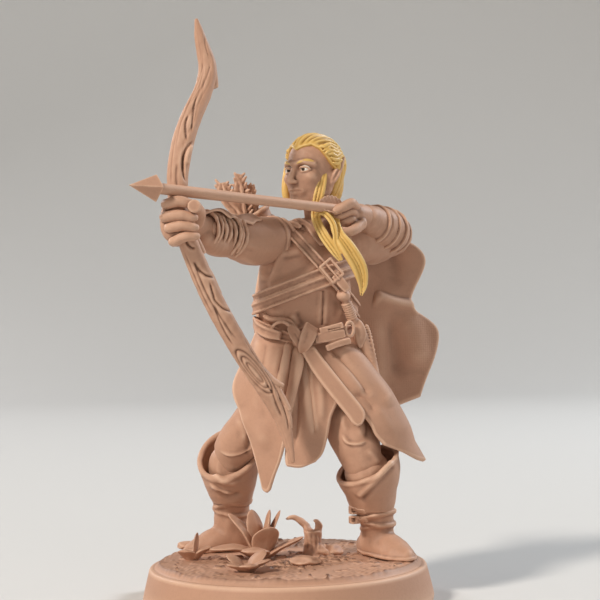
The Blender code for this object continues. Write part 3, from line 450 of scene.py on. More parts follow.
class Clay:
    """A lump of clay on a grid of distances, in mm. Solids are blended in or cut away."""

    def __init__(self, low, high, step):
        self.step = step * GRAIN
        self.low = np.array(low, float)
        size = np.ceil((np.array(high) - self.low) / self.step).astype(int) + 1
        self.field = np.full(size, FAR, np.float32)

    def like(self, field=None):
        made = object.__new__(Clay)
        made.step, made.low = self.step, self.low
        made.field = np.full_like(self.field, FAR) if field is None else field
        return made

    def copy(self):
        return self.like(self.field.copy())

    def window(self, low=None, high=None):
        """The part of the grid between two corners, and the places of its points."""
        size = np.array(self.field.shape)
        a, b = np.zeros(3, int), size
        if low is not None:
            a = np.clip(np.floor((low - self.low) / self.step).astype(int), 0, size)
            b = np.clip(np.ceil((high - self.low) / self.step).astype(int) + 1, 0, size)
            b = np.maximum(a, b)
        lines = [
            (self.low[k] + self.step * np.arange(a[k], b[k])).astype(np.float32) for k in range(3)
        ]
        grid = np.meshgrid(*lines, indexing="ij", sparse=True)
        return tuple(slice(i, j) for i, j in zip(a, b)), grid

    def put(self, solids, soft=0.15, cut=False):
        """Blends in a solid or a list of solids, or with cut takes it away."""
        solids = [solids] if isinstance(solids, tuple) else solids
        low = np.min([s[1] for s in solids], 0) - REACH
        high = np.max([s[2] for s in solids], 0) + REACH
        new = np.full_like(self.field, FAR)
        for distance, a, b in solids:
            part, grid = self.window(a - REACH, b + REACH)
            if new[part].size:
                new[part] = np.minimum(new[part], distance(*grid))
        part, _ = self.window(low, high)
        if self.field[part].size:
            old, new = self.field[part], new[part]
            self.field[part] = smooth_max(old, -new, soft) if cut else smooth_min(old, new, soft)
        return self

    def tube(self, rows, soft=0.15, cut=False):
        return self.put(tube(rows), soft, cut)

    def keep(self, distance, soft=0.05):
        """Keeps only what lies inside this distance, a function of x, y and z."""
        _, grid = self.window()
        self.field = smooth_max(self.field, (distance(*grid) + 0 * self.field), soft).astype(np.float32)
        return self

    def form(self, relax=1):
        """The clay's surface as quads: one point in each cell that the surface crosses, and one
        quad round each grid line that it cuts."""
        f = self.field.copy()
        for axis in range(3):
            edge = [slice(None)] * 3
            for k in (0, -1):
                edge[axis] = k
                f[tuple(edge)] = np.maximum(f[tuple(edge)], self.step)
        inside = f < 0
        n = np.array(f.shape)
        corner = [(i, j, k) for i in (0, 1) for j in (0, 1) for k in (0, 1)]

        def at(array, c):
            return array[tuple(slice(c[i], n[i] - 1 + c[i]) for i in range(3))]

        count = sum(at(inside, c).astype(np.int8) for c in corner)
        cells = (count > 0) & (count < 8)
        where = np.argwhere(cells)
        value = np.stack([at(f, c)[cells] for c in corner], 1)
        place, met = np.zeros((len(where), 3)), np.zeros(len(where))
        for a, ca in enumerate(corner):
            for b, cb in enumerate(corner):
                if b <= a or sum(p != q for p, q in zip(ca, cb)) != 1:
                    continue
                va, vb = value[:, a], value[:, b]
                hit = (va < 0) != (vb < 0)
                t = np.where(hit, va / np.where(hit, va - vb, 1), 0)
                point = np.array(ca) + t[:, None] * (np.array(cb) - np.array(ca))
                place += point * hit[:, None]
                met += hit
        points = self.low + self.step * (where + place / met[:, None])
        number = np.full(cells.shape, -1, np.int64)
        number[cells] = np.arange(len(where))
        quads = []
        for axis in range(3):
            low = [slice(1, n[i] - 1) for i in range(3)]
            high = list(low)
            low[axis], high[axis] = slice(0, n[axis] - 1), slice(1, n[axis])
            first, second = inside[tuple(low)], inside[tuple(high)]
            e = np.argwhere(first != second)
            e_out = first[tuple(e.T)]
            e = e + [0 if i == axis else 1 for i in range(3)]
            b, c = np.eye(3, dtype=int)[(axis + 1) % 3], np.eye(3, dtype=int)[(axis + 2) % 3]
            quad = np.stack([number[tuple((e - s).T)] for s in (0 * b, b, b + c, c)], 1)
            quads.append(np.where(e_out[:, None], quad, quad[:, ::-1]))
        form = Form(points, np.vstack(quads))
        return form.relax(relax, 0.5) if relax else form


# ---------------------------------------------------------------- materials


def feed(tree, socket, value):
    """Links an input to another node's output, or sets its value."""
    if isinstance(value, bpy.types.NodeSocket):
        tree.links.new(value, socket)
    else:
        socket.default_value = value


def node(tree, kind, **inputs):
    made = tree.nodes.new(kind)
    for key, value in inputs.items():
        feed(tree, made.inputs[key], value)
    return made


def maths(tree, operation, *values, clamp=False):
    made = tree.nodes.new("ShaderNodeMath")
    made.operation = operation
    made.use_clamp = clamp
    for socket, value in zip(made.inputs, values):
        feed(tree, socket, value)
    return made.outputs[0]


def scaled(tree, value, factor, plus):
    """value × factor + plus, kept between 0 and 1."""
    return maths(tree, "MULTIPLY_ADD", value, factor, plus, clamp=True)


def mixed(tree, share, a, b, kind="MIX"):
    made = tree.nodes.new("ShaderNodeMix")
    made.data_type = "RGBA"
    made.blend_type = kind
    for k, value in ((0, share), (6, a), (7, b)):
        feed(tree, made.inputs[k], value)
    return made.outputs[2]


def rgb(red, green, blue):
    """A linear colour from 0 to 255 screen values."""
    return tuple(((v / 255 + 0.055) / 1.055) ** 2.4 for v in (red, green, blue)) + (1.0,)


# A point attribute of crease depth, which the materials turn into painted shade in creases and painted
# highlights on edges.
SHADE_ATTRIBUTE = "shade_and_highlight"
SHADE_REACH = 0.17  # how far round a point its hollow is judged, in mm
SHADE_DEPTH = 0.05  # the depth of a crease that gets the full painted shade, in mm
SPECULAR = 0.3
BUMP_HEIGHT = 0.00005
THREAD_SCALE = 1500.0


def matt(name, tones, roughness, grain=0.5, weave=0.0, sheen=0.0):
    """Matt paint or resin: painted shade darkens the hollows and a painted highlight pales the edges,
    with a fine grain.
    """
    # hollow is the painted shade colour for creases, and edge is the painted highlight colour for sharp
    # edges.
    base, hollow, edge = tones
    material = bpy.data.materials.new(name)
    material.use_nodes = True
    tree = material.node_tree
    shader = tree.nodes["Principled BSDF"]
    place = node(tree, "ShaderNodeTexCoord").outputs["Object"]
    patches = node(tree, "ShaderNodeTexNoise", Vector=place, Scale=260.0, Detail=4.0, Roughness=0.6)
    speckle = node(tree, "ShaderNodeTexNoise", Vector=place, Scale=5200.0, Detail=2.0)
    mottle = node(tree, "ShaderNodeTexNoise", Vector=place, Scale=1700.0, Detail=3.0)
    # Each point's shading attribute: painted shade in creases, painted highlight on edges.
    shading_layer = tree.nodes.new("ShaderNodeAttribute")
    shading_layer.attribute_name = SHADE_ATTRIBUTE
    depth = maths(tree, "ADD", shading_layer.outputs["Fac"], scaled(tree, mottle.outputs[0], 0.3, -0.15))
    shade = scaled(tree, patches.outputs[0], 0.22, 0.89)
    shade = maths(tree, "MULTIPLY", shade, scaled(tree, speckle.outputs[0], 0.2, 0.9))
    grey = node(tree, "ShaderNodeCombineColor", Red=shade, Green=shade, Blue=shade).outputs[0]
    tone = mixed(tree, 1.0, base, grey, "MULTIPLY")
    # Paints shade into the creases, then a painted highlight onto the edges.
    tone = mixed(tree, scaled(tree, depth, 0.85, 0.0), tone, hollow)
    tone = mixed(tree, scaled(tree, depth, -0.6, -0.06), tone, edge)
    height = maths(tree, "ADD", mottle.outputs[0], scaled(tree, speckle.outputs[0], 0.5, 0.0))
    for axis in "XZ" if weave else "":
        thread = node(tree, "ShaderNodeTexWave", Vector=place, Scale=THREAD_SCALE, Distortion=1.5)
        thread.bands_direction = axis
        height = maths(tree, "ADD", height, scaled(tree, thread.outputs["Fac"], weave, 0.0))
    bump = node(tree, "ShaderNodeBump", Strength=grain, Distance=BUMP_HEIGHT, Height=height)
    for key, value in (
        ("Base Color", tone),
        ("Roughness", scaled(tree, patches.outputs[0], 0.12, roughness - 0.06)),
        ("Specular IOR Level", SPECULAR),
        ("Sheen Weight", sheen),
        ("Normal", bump.outputs[0]),
    ):
        feed(tree, shader.inputs[key], value)
    return material


# Each set of tones is (base colour, painted shade for creases, painted highlight for edges).
RESIN_TONES = (rgb(186, 143, 118), rgb(88, 58, 42), rgb(232, 194, 166))
HAIR_TONES = (rgb(214, 170, 92), rgb(120, 80, 34), rgb(246, 216, 148))
RESIN = matt("resin", RESIN_TONES, roughness=0.55)
RESIN_CLOTH = matt("resin_cloth", RESIN_TONES, roughness=0.66, sheen=0.05)
RESIN_WEAVE = matt("resin_weave", RESIN_TONES, roughness=0.7, grain=0.55, weave=0.22, sheen=0.08)
HAIR = matt("hair_paint", HAIR_TONES, roughness=0.45)
# The eye paints also carry a painted shade and a painted highlight tone.
EYE_TONES = (rgb(236, 228, 214), rgb(190, 170, 150), rgb(245, 240, 230))
IRIS_TONES = (rgb(58, 44, 34), rgb(30, 22, 18), rgb(90, 70, 56))
EYE_PAINT = matt("eye_paint", EYE_TONES, roughness=0.3, grain=0.1)
IRIS_PAINT = matt("iris_paint", IRIS_TONES, roughness=0.25, grain=0.1)


def painted_shading_of(form):
    """How deep in a hollow each point lies: from -1 on a sharp edge to 1 in a crease. The materials paint
    shade where it is high and a highlight where it is low.
    """
    quads = form.faces[0]
    gap = np.linalg.norm(form.points[quads[:, 0]] - form.points[quads[:, 1]], axis=1).mean()
    times = int(np.clip(2 * (SHADE_REACH / gap) ** 2, 4, 24))
    smooth = Form(form.points, form.faces).relax(times)
    depth = ((smooth.points - form.points) * form.normals()).sum(1)
    return np.clip(depth / SHADE_DEPTH, -1, 1)


def piece(name, form, nodes, material=RESIN):
    """One visible piece, which rides on the body and stands for these CAD nodes."""
    mesh = bpy.data.meshes.new(name)
    mesh.from_pydata((form.points * MM).tolist(), [], form.polygons())
    mesh.shade_smooth()
    mesh.materials.append(material)
    # Stores each point's crease depth, which the material paints as shade in creases and as a highlight
    # on edges.
    shading_layer = mesh.attributes.new(SHADE_ATTRIBUTE, "FLOAT", "POINT")
    shading_layer.data.foreach_set("value", painted_shading_of(form).astype(np.float32))
    made = bpy.data.objects.new(name, mesh)
    bpy.context.scene.collection.objects.link(made)
    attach(made, BODY)
    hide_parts(*nodes.split())
    return made


# ---------------------------------------------------------------- body and bands

TRUNK = [
    (2.2, 0.6, 17, 3.1, 2.2, -10),
    (2.2, 0.55, 18.6, 3.8, 2.6, -10),
    (2.15, 0.5, 20.4, 4.0, 2.7, -8),
    (2.0, 0.4, 22, 3.95, 2.65, -4),
    (1.95, 0.3, 23.4, 3.95, 2.65, 0),
    (1.95, 0.1, 25.2, 4.1, 2.8, 8),
    (1.9, 0, 27.2, 4.05, 2.9, 14),
    (1.95, 0, 29.2, 3.85, 2.9, 18),
    (2.2, 0.3, 30.8, 3.6, 2.5, 20),
    (2.6, 0.6, 31.9, 2.6, 1.9, 20),
    (2.7, 0.6, 32.5, 1.75, 1.55, 20),
]
WAIST_Z = 22.6


def half_space(point, normal):
    """Everything on the far side of a plane from its normal."""
    normal = unit(normal)

    def distance(x, y, z):
        return (x - point[0]) * normal[0] + (y - point[1]) * normal[1] + (z - point[2]) * normal[2]

    return distance


def slab(centre, tilt, width):
    """Everything between two parallel planes."""
    off = half_space(centre, tilt)
    return lambda x, y, z: np.abs(off(x, y, z)) - width / 2


def skin(clay, distance, thick, soft, inner):
    """A layer of even thickness that hugs the clay, kept where the distance is below 0."""
    made = clay.like(clay.field - thick)
    made.keep(distance, soft)
    if inner:
        made.field = np.maximum(made.field, -(clay.field + inner))
    return made


SKIN_INNER = 0.35  # how far a layer reaches into the clay under it


def band(clay, centre, tilt, width, thick, soft=0.1, inner=SKIN_INNER):
    """A layer that hugs the clay between two parallel planes."""
    return skin(clay, slab(centre, tilt, width), thick, soft, inner)


def merge(clay, other, soft=0.05):
    clay.field = smooth_min(clay.field, other.field, soft)
    return clay


trunk = Clay((-3.4, -4.4, 16.4), (7.8, 4.9, 33.2), 0.1)
trunk.put(levels(TRUNK), 0)


def make_torso():
    clay = trunk.copy()
    clay.keep(half_space((0, 0, WAIST_Z), (0, 0, -1)))
    form = clay.form()
    form.strokes(
        ([(0.5, 31.4), (0.0, 30.1), (-0.7, 28.7), (-1.3, 26.9)], 0.45, 0.28),
        ([(0.0, 31.2), (-0.5, 30.0), (-1.1, 28.6), (-1.6, 27.0)], 0.3, -0.3),
        ([(-1.6, 29.2), (-1.75, 28.4), (-1.4, 27.3)], 0.35, 0.2),
        ([(-0.3, 29.5), (0.8, 29.8), (1.9, 29.9)], 0.35, 0.14),
        ([(-0.2, 29.2), (0.9, 29.4), (2.0, 29.6)], 0.22, -0.1),
    )
    form.stroke([(-1.3, 26.75), (0.2, 27.2), (1.7, 27.8), (3.4, 28.9)], 0.42, 0.28, taper=0.1)
    form.stroke([(2.2, 30.6), (2.8, 29.5), (3.4, 28.9)], 0.3, -0.12)
    form.stroke([(3.45, 26.6), (3.4, 25.2), (3.3, 23.5)], 0.12, -0.12, taper=0.05)
    form.strokes(
        ([(3.2, 26.6), (3.12, 25.2), (3.0, 23.5)], 0.18, 0.07),
        ([(3.8, 26.8), (3.7, 25.2), (3.6, 23.5)], 0.22, 0.07),
        taper=0.1,
    )
    form.strokes(
        ([(1.1, 24.9), (1.4, 24.1), (1.7, 23.4)], 0.3, -0.14),
        ([(0.7, 24.7), (1.0, 24.0), (1.2, 23.4)], 0.28, 0.16),
        ([(-1.9, 25.6), (-0.9, 24.9), (0.2, 24.7)], 0.3, 0.14),
        ([(-2.0, 24.6), (-1.0, 24.2), (-0.1, 23.7)], 0.3, 0.16),
        ([(4.0, 27.0), (4.9, 25.4), (5.1, 23.8)], 0.3, 0.16),
        ([(4.4, 25.9), (4.6, 24.9), (4.3, 23.9)], 0.3, -0.07),
    )
    form.strokes(
        ([(1.6, 30.6), (1.9, 27.5), (1.7, 23.6)], 0.5, -0.3),
        ([(-1.4, 29.4), (0.2, 26.4), (0.6, 23.9)], 0.4, 0.2),
        ([(4.9, 29.4), (3.6, 26.4), (3.0, 23.9)], 0.4, 0.2),
        facing=(0, 1, 0),
    )
    piece("torso_tunic", form.rough(0.02, 1.6, 3), "torso", RESIN_CLOTH)


def make_hips():
    clay = trunk.copy()
    clay.keep(half_space((0, 0, WAIST_Z - 0.02), (0, 0, 1)))
    piece("hips_cloth", clay.form().rough(0.03, 1.4, 5), "hips", RESIN_CLOTH)


WRAP_TILT = (-0.33, 0, 0.94)


def make_wraps():
    for name, z, width, thick in (("upper", 27.5, 0.85, 0.42), ("lower", 26.65, 0.95, 0.5)):
        clay = band(trunk, (1.9, 0, z), WRAP_TILT, width, thick, 0.2)
        for shift in (-0.5, 0.5):
            rim = np.array((1.9, 0, z)) + unit(WRAP_TILT) * shift * (width - 0.24)
            merge(clay, band(trunk, rim, WRAP_TILT, 0.22, thick + 0.14, 0.1))
        form = clay.form()
        form.rough(0.012, 1.1, 11)
        piece(f"chest_wrap_{name}_cloth", form, f"chest_wrap_{name}", RESIN_CLOTH)


def make_baldric():
    tilt, middle = (0.76, 0, 0.65), (2.75, 0, 29.3)
    clay = band(trunk, middle, tilt, 0.9, 0.5, 0.06)
    for shift in (0.27, -0.27):
        merge(clay, band(trunk, (2.75 + shift, 0, 29.3 + shift * 0.9), tilt, 0.2, 0.72, 0.08))
    clay.keep(half_space((0, 0, 23.4), (0, 0, -1)), 0.1)
    piece("baldric_strap", clay.form(), "baldric", RESIN_CLOTH)
    frame_clay = Clay((2.6, -5.0, 26.0), (5.9, -2.0, 30.2), 0.055)
    way, face = unit((0.62, 0.1, -0.78)), unit((0.25, -1, 0.05))
    side = unit(np.cross(way, face))
    centre = np.array((4.15, -3.5, 28.15))
    signs = ((1, 1), (1, -1), (-1, -1), (-1, 1), (1, 1))
    corners = [centre + way * a * 0.85 + side * b * 0.58 for a, b in signs]
    for a, b in zip(corners, corners[1:]):
        frame_clay.put(plank(np.append(a, 0.11), np.append(b, 0.11), 0.15, face, 0.05), 0.03)
    tongue_a, tongue_b = centre - way * 0.82 + face * 0.05, centre + way * 0.95 + face * 0.12
    frame_clay.put(rod(tongue_a, tongue_b, 0.1, 0.08), 0.03)
    end = [
        (*(centre + way * t + face * o), w)
        for t, o, w in ((0.5, -0.1, 0.36), (1.4, 0.0, 0.38), (2.1, -0.04, 0.3))
    ]
    frame_clay.put(ribbon(end, 0.13, face, rounding=0.05), 0.03)
    piece("baldric_buckle_frame", frame_clay.form(), "baldric_buckle")


def belt_height(x, y):
    """The height of the middle of the belt, which dips at the front."""
    front = np.interp(
        x, (-2.6, -1.5, -0.3, 0.9, 2.6, 4.3, 5.3, 6.0),
        (23.9, 23.35, 22.8, 22.4, 22.38, 22.75, 22.98, 23.1),
    )
    return front + (23.2 - front) * ease((y + 0.6) / 2)


def belt_band(rise, width, thick, soft=0.08):
    """A layer round the trunk that follows the belt, that far above its middle."""

    def off(x, y, z):
        middle = belt_height(x + 0 * y, y + 0 * x) + rise
        return np.abs(z - middle) - width / 2

    return skin(trunk, off, thick, soft, SKIN_INNER)


def make_belt():
    clay = belt_band(0, 1.0, 0.46)
    for rise in (-0.38, 0.38):
        merge(clay, belt_band(rise, 0.26, 0.6, 0.12))
    tongue = [
        (-2.35, 0.2, 24.0, 0.46), (-2.15, -1.2, 23.55, 0.46), (-1.35, -2.2, 23.05, 0.44),
        (-0.35, -2.72, 22.76, 0.38),
    ]
    facing = [(-1, -0.25, 0.1), (-0.85, -0.6, 0.1), (-0.55, -1, 0.1), (-0.4, -1, 0.1)]
    clay.put(ribbon(tongue, 0.26, facing, rounding=0.14), 0.03)
    for rise in (-0.34, 0.36):
        edge = [(x - 0.14, y - 0.2, z + rise, 0.14) for x, y, z, _ in tongue[:-1]]
        clay.tube(edge + [(-0.4, -2.9, 22.76 + rise * 0.8, 0.12)], 0.06)
    over = [
        (-1.65, -0.8, 24.95, 0.2), (-1.5, -1.55, 24.45, 0.24), (-1.0, -2.05, 24.17, 0.23),
        (-0.17, -2.5, 24.14, 0.21), (0.57, -2.8, 23.95, 0.2), (1.05, -3.0, 23.45, 0.17),
    ]
    clay.tube(over, 0.04)
    loop = [
        (-1.0, -2.45, 23.4, 0.14), (-0.62, -2.85, 23.8, 0.15), (-0.07, -3.08, 23.92, 0.16),
        (0.42, -3.2, 23.66, 0.16), (0.74, -3.2, 23.05, 0.14),
    ]
    clay.tube(loop, 0.03)
    piece("belt_band", clay.form().rough(0.012, 1.0, 15), "belt", RESIN_CLOTH)
    piece("hip_strap_band", belt_band(-0.66, 0.4, 0.36).form(), "hip_strap", RESIN_CLOTH)


def make_knot():
    clay = Clay((0.0, -5.0, 20.6), (6.6, -1.9, 24.4), 0.055)
    clay.put(ellipsoid((1.65, -3.3, 22.5), (0.95, 0.75, 0.95)), 0.05)
    left = [
        (0.6, -3.25, 23.42, 0.3), (0.95, -3.75, 22.98, 0.52), (1.25, -4.0, 22.4, 0.46),
        (1.45, -3.9, 21.9, 0.26),
    ]
    clay.put(ribbon(left, 0.24, (-0.45, -1, 0.15), rounding=0.12), 0.03)
    over = [
        (2.35, -3.4, 23.4, 0.62), (2.15, -4.0, 22.95, 0.66), (1.88, -4.25, 22.3, 0.62),
        (1.62, -4.1, 21.75, 0.46), (1.5, -3.8, 21.45, 0.28),
    ]
    clay.put(ribbon(over, 0.24, (0.2, -1, 0.1), rounding=0.12), 0.02)
    tabs = [
        [(3.1, -3.75, 23.1, 0.24), (3.9, -3.68, 23.3, 0.24), (4.95, -3.35, 23.55, 0.24)],
        [(2.7, -3.75, 22.45, 0.42), (3.8, -3.66, 22.6, 0.42), (5.1, -3.2, 22.85, 0.36)],
        [(3.62, -3.78, 21.62, 0.26), (4.5, -3.62, 21.95, 0.26), (5.55, -3.15, 22.2, 0.26)],
    ]
    for tab in tabs:
        clay.put(ribbon(tab, 0.17, (0.25, -1, 0.05)), 0.0)
    turn = np.linspace(0, 2 * math.pi, 17)
    ring = [(
        5.6 + 0.34 * math.cos(a), -2.9 + 0.16 * math.cos(a), 23.2 + 0.6 * math.sin(a), 0.14,
    ) for a in turn]
    clay.put(tube(ring, 2), 0.02)
    form = clay.form()
    form.stroke([(2.1, 23.3), (1.9, 22.6), (1.6, 21.9)], 0.14, -0.05)
    form.stroke([(3.7, 23.15), (4.3, 23.25), (4.9, 23.35)], 0.07, -0.12, taper=0.1)
    form.stroke([(0.85, 23.1), (1.1, 22.6), (1.35, 22.1)], 0.1, -0.04)
    piece("belt_knot_cloth", form.rough(0.01, 0.8, 21), "belt_knot", RESIN_CLOTH)


# ---------------------------------------------------------------- collar, arms and hands

COLLAR = [
    (2.1, 0.2, 30.1, 4.25, 3.25, 20),
    (2.25, 0.35, 31.3, 3.95, 2.95, 20),
    (2.55, 0.55, 32.2, 2.7, 2.3, 20),
    (2.7, 0.6, 32.85, 1.7, 1.65, 20),
]
RIGHT_UPPER_ARM = [
    (0.2, -0.1, 30.6, 1.5), (-1.1, -1.6, 30.9, 2), (-2.6, -3.4, 30.75, 2.0), (-3.5, -4.5, 30.8, 1.75),
]
RIGHT_FOREARM = [
    (-3.9, -4.9, 30.9, 1.2), (-5.4, -7.2, 31.2, 1.3), (-6.9, -9.3, 31.7, 1), (-7.6, -10.3, 31.9, 1),
]
LEFT_UPPER_ARM = [
    (4.9, 1.3, 30.4, 1.5), (6.6, 2.7, 30.9, 1.9), (8.6, 4.9, 31.1, 1.85), (10.2, 6.5, 31.3, 1.4),
]
LEFT_FOREARM = [
    (10.6, 6.3, 31.6, 1.3), (9.6, 4.6, 31.9, 1.85), (8.5, 2.9, 32.3, 1.7), (7.5, 1.3, 32.8, 1.3),
]


def make_collar():
    clay = Clay((-2.6, -3.9, 29.6), (6.9, 4.4, 33.6), 0.075)
    clay.put(levels(COLLAR, 0.15), 0)

    def hem(x, y, z):
        teeth = 0.5 * np.abs(((x * 1.0 + y * 0.5) % 1.0) - 0.5) * 2
        front = np.clip((-y - 0.4) / 1.2, 0, 1)
        edge = 30.35 + front * (1.55 + teeth - 0.1 * (x - 0.5)) * np.clip((3.2 - x) / 1.2, 0, 1)
        return edge - z

    clay.keep(hem, 0.05)
    clay.put(capsule((2.2, -2.6, 32.9, 0.2), (2.9, -3.4, 31.2, 0.05)), 0.1, cut=True)
    form = clay.form()
    form.strokes(
        ([(-1.6, 33.1), (0.2, 32.9), (1.4, 32.3), (2.4, 31.5)], 0.16, 0.2),
        ([(-1.0, 33.3), (0.6, 33.2), (1.8, 32.7), (2.7, 32.0)], 0.14, 0.2),
        side=1, taper=0.1,
    )
    for x in (-1.4, -0.5, 0.4, 1.3):
        form.stroke([(x - 0.2, 33.0), (x, 32.6), (x + 0.15, 32.2)], 0.16, 0.1, taper=0.2)
    form.strokes(
        ([(3.4, 32.9), (4.6, 32.2), (5.6, 31.3)], 0.3, 0.16),
        ([(4.2, 33.0), (5.5, 32.1), (6.4, 31.0)], 0.25, 0.14),
    )
    piece("collar_mantle", form.rough(0.025, 1.3, 17), "collar", RESIN_CLOTH)


def make_right_sleeve():
    clay = Clay((-8.9, -11.8, 28.2), (2.2, 1.9, 33.4), 0.1)
    clay.tube(RIGHT_UPPER_ARM, 0)
    way = unit((-0.68, -0.72, 0.05))
    shoulder = clay.copy()
    for at, width, thick in (
        ((-0.9, -1.35, 30.9), 0.5, 0.2), ((-0.25, -0.65, 30.8), 0.45, 0.32),
        ((0.3, -0.05, 30.7), 0.4, 0.42),
    ):
        merge(clay, band(shoulder, at, way, width, thick, 0.1, inner=0), 0.05)
    clay.tube(RIGHT_FOREARM, 0.3)
    clay.tube([(-4.4, -6.0, 30.5, 1.2), (-5.4, -7.8, 30.35, 1.05), (-6.1, -8.9, 30.7, 0.75)], 0.2)
    form = clay.form()
    form.strokes(
        ([(-1.6, -2.9, 28.9), (-2.6, -4.6, 29.0), (-3.7, -5.9, 29.4)], 0.35, 0.2),
        ([(-1.2, -2.8, 29.4), (-2.2, -4.9, 29.9), (-3.4, -6.3, 30.0)], 0.25, -0.16),
        ([(-1.4, -2.9, 29.9), (-2.5, -5.1, 30.8), (-3.6, -6.6, 30.6)], 0.35, 0.16),
        ([(-1.3, -2.6, 31.6), (-2.2, -4.2, 32.2), (-3.4, -5.8, 32.2)], 0.3, -0.12),
    )
    piece("right_sleeve_cloth", form.rough(0.035, 1.5, 23), "right_sleeve", RESIN_CLOTH)


def pleats(clay, a, b, count, radius, angles, seed):
    """Torn pleats of cloth that hang over the arm between a and b, side by side."""
    rng = np.random.default_rng(seed)
    a, b = np.array(a, float), np.array(b, float)
    along = unit(b - a)
    side = unit(np.cross(along, (0, 0, 1)))
    up = np.cross(side, along)
    for k in range(count):
        centre = a + (b - a) * (k + 0.5) / count
        r = radius * (1 + 0.07 * (-1) ** k) + rng.uniform(-0.05, 0.05)
        low, high = angles[0] + rng.uniform(-16, 12), angles[1] + rng.uniform(-12, 16)
        row = []
        for t in np.linspace(0, 1, 9):
            turn = math.radians(low + (high - low) * t)
            spread = 1 + 0.1 * math.sin(math.pi * t) + 0.1 * (abs(t - 0.5) * 2) ** 2
            sway = along * 0.09 * math.sin(t * 7 + k * 1.7)
            point = centre + sway + (math.cos(turn) * side + math.sin(turn) * up) * r * spread
            width = rng.uniform(0.14, 0.19) * (1 - 0.5 * abs(t - 0.5))
            row.append((*point, width))
        clay.put(tube(row, 3), 0.05)


def make_ruffle():
    clay = Clay((-7.6, -10.6, 28.6), (-1.9, -2.9, 33.8), 0.07)
    clay.tube([(-3.3, -4.2, 30.85, 1.72), (-4.0, -5.2, 30.9, 1.55)], 0)
    clay.tube([(-4.2, -5.6, 31.0, 1.3), (-6.1, -8.3, 31.4, 1.0)], 0.1)
    pleats(clay, (-4.3, -5.6, 31.0), (-5.0, -6.7, 31.1), 6, 1.5, (-40, 230), 4)
    pleats(clay, (-5.3, -7.1, 31.2), (-6.35, -8.6, 31.45), 7, 1.3, (-34, 226), 9)
    for x, y, r in ((-4.55, -7.9, 0.2), (-4.95, -8.2, 0.17), (-5.4, -9.0, 0.2)):
        top, bottom = (x + 0.15, y + 0.7, 32.2, 0.1), (x + 0.05, y + 0.1, 30.5, r * 0.5)
        clay.tube([top, (x, y, 31.7, r), (x - 0.05, y - 0.05, 31.1, r), bottom], 0.06)
    clay.put(capsule((-6.0, -8.2, 31.35, 0.8), (-6.9, -9.4, 31.6, 0.9)), 0.1, cut=True)
    form = clay.form().rough(0.03, 0.8, 12)
    flap = surface(
        [
            [(-6.4, -9.2, 32.5), (-5.7, -9.3, 32.85), (-4.9, -8.9, 32.95), (-4.1, -8.1, 32.4)],
            [(-6.3, -8.5, 32.6), (-5.5, -8.4, 32.95), (-4.7, -8.0, 33.05), (-3.9, -7.3, 32.55)],
            [(-6.0, -7.7, 32.4), (-5.1, -7.2, 32.65), (-4.3, -6.6, 32.7), (-3.5, -6.3, 32.25)],
            [(-5.6, -7.0, 31.9), (-4.7, -6.1, 32.1), (-3.9, -5.4, 32.2), (-3.1, -5.2, 31.9)],
        ], 14, 12,
    )
    cap = surface(
        [
            [(-4.0, -6.6, 32.1), (-3.3, -6.3, 32.3), (-2.4, -5.4, 32.1)],
            [(-3.9, -6.0, 32.5), (-3.1, -5.6, 32.75), (-2.1, -4.8, 32.4)],
            [(-3.3, -5.0, 32.7), (-2.5, -4.5, 32.9), (-1.7, -3.9, 32.5)],
        ], 12, 12,
    )
    parts = (form, cloth(flap, 0.2), cloth(cap, 0.24))
    piece("right_sleeve_ruffle_torn", together(*parts), "right_sleeve_ruffle", RESIN_CLOTH)


def finger(points, radii):
    return tube([(*p, r) for p, r in zip(points, radii)])


def make_right_hand():
    clay = Clay((-10.9, -14.2, 29.4), (-5.6, -9.0, 34.8), 0.055)
    back = [
        (-8.35, -10.9, 33.2, 0.9), (-8.5, -11.0, 32.5, 1.0), (-8.45, -11.1, 31.5, 1.08),
        (-8.15, -11.25, 30.95, 0.95),
    ]
    clay.tube(back, 0)
    clay.tube([(-7.3, -9.9, 31.9, 0.95), (-8.0, -10.7, 32.0, 1.1)], 0.4)
    fingers = (
        (-9.0, 33.3, 33.3, -7.05, 0.44), (-9.1, 32.3, 32.12, -6.75, 0.45),
        (-8.8, 31.45, 31.35, -6.68, 0.43), (-8.5, 30.35, 30.68, -6.6, 0.4),
    )
    for knuckle_x, start, end, tip_x, r in fingers:
        middle_x = (knuckle_x + tip_x) / 2
        x = np.array((knuckle_x + 0.3, knuckle_x, knuckle_x + 0.18, middle_x, tip_x - 0.35, tip_x))
        y = (-10.9, -11.7, -12.25, -12.5, -12.46, -12.34)
        z = np.interp(x, (knuckle_x, tip_x), (start, end))
        z[:3] -= 0.05
        z[3] += 0.1
        clay.put(finger(list(zip(x, y, z)), [0.4, r * 0.95, r * 0.98, r, r * 0.9, r * 0.66]), 0.0)
    thumb = [(-6.75, -10.2, 31.9), (-6.45, -11.0, 32.5), (-6.6, -12.0, 32.85), (-6.75, -12.95, 32.98)]
    clay.put(finger(thumb, [0.6, 0.52, 0.5, 0.52]), 0.04)
    clay.put(block((-6.75, -13.55, 33.0), (0.9, 0.55, 0.8), np.eye(3), 0.08), 0.12, cut=True)
    piece("right_hand_fist", clay.form().rough(0.012, 0.8, 31), "right_hand")


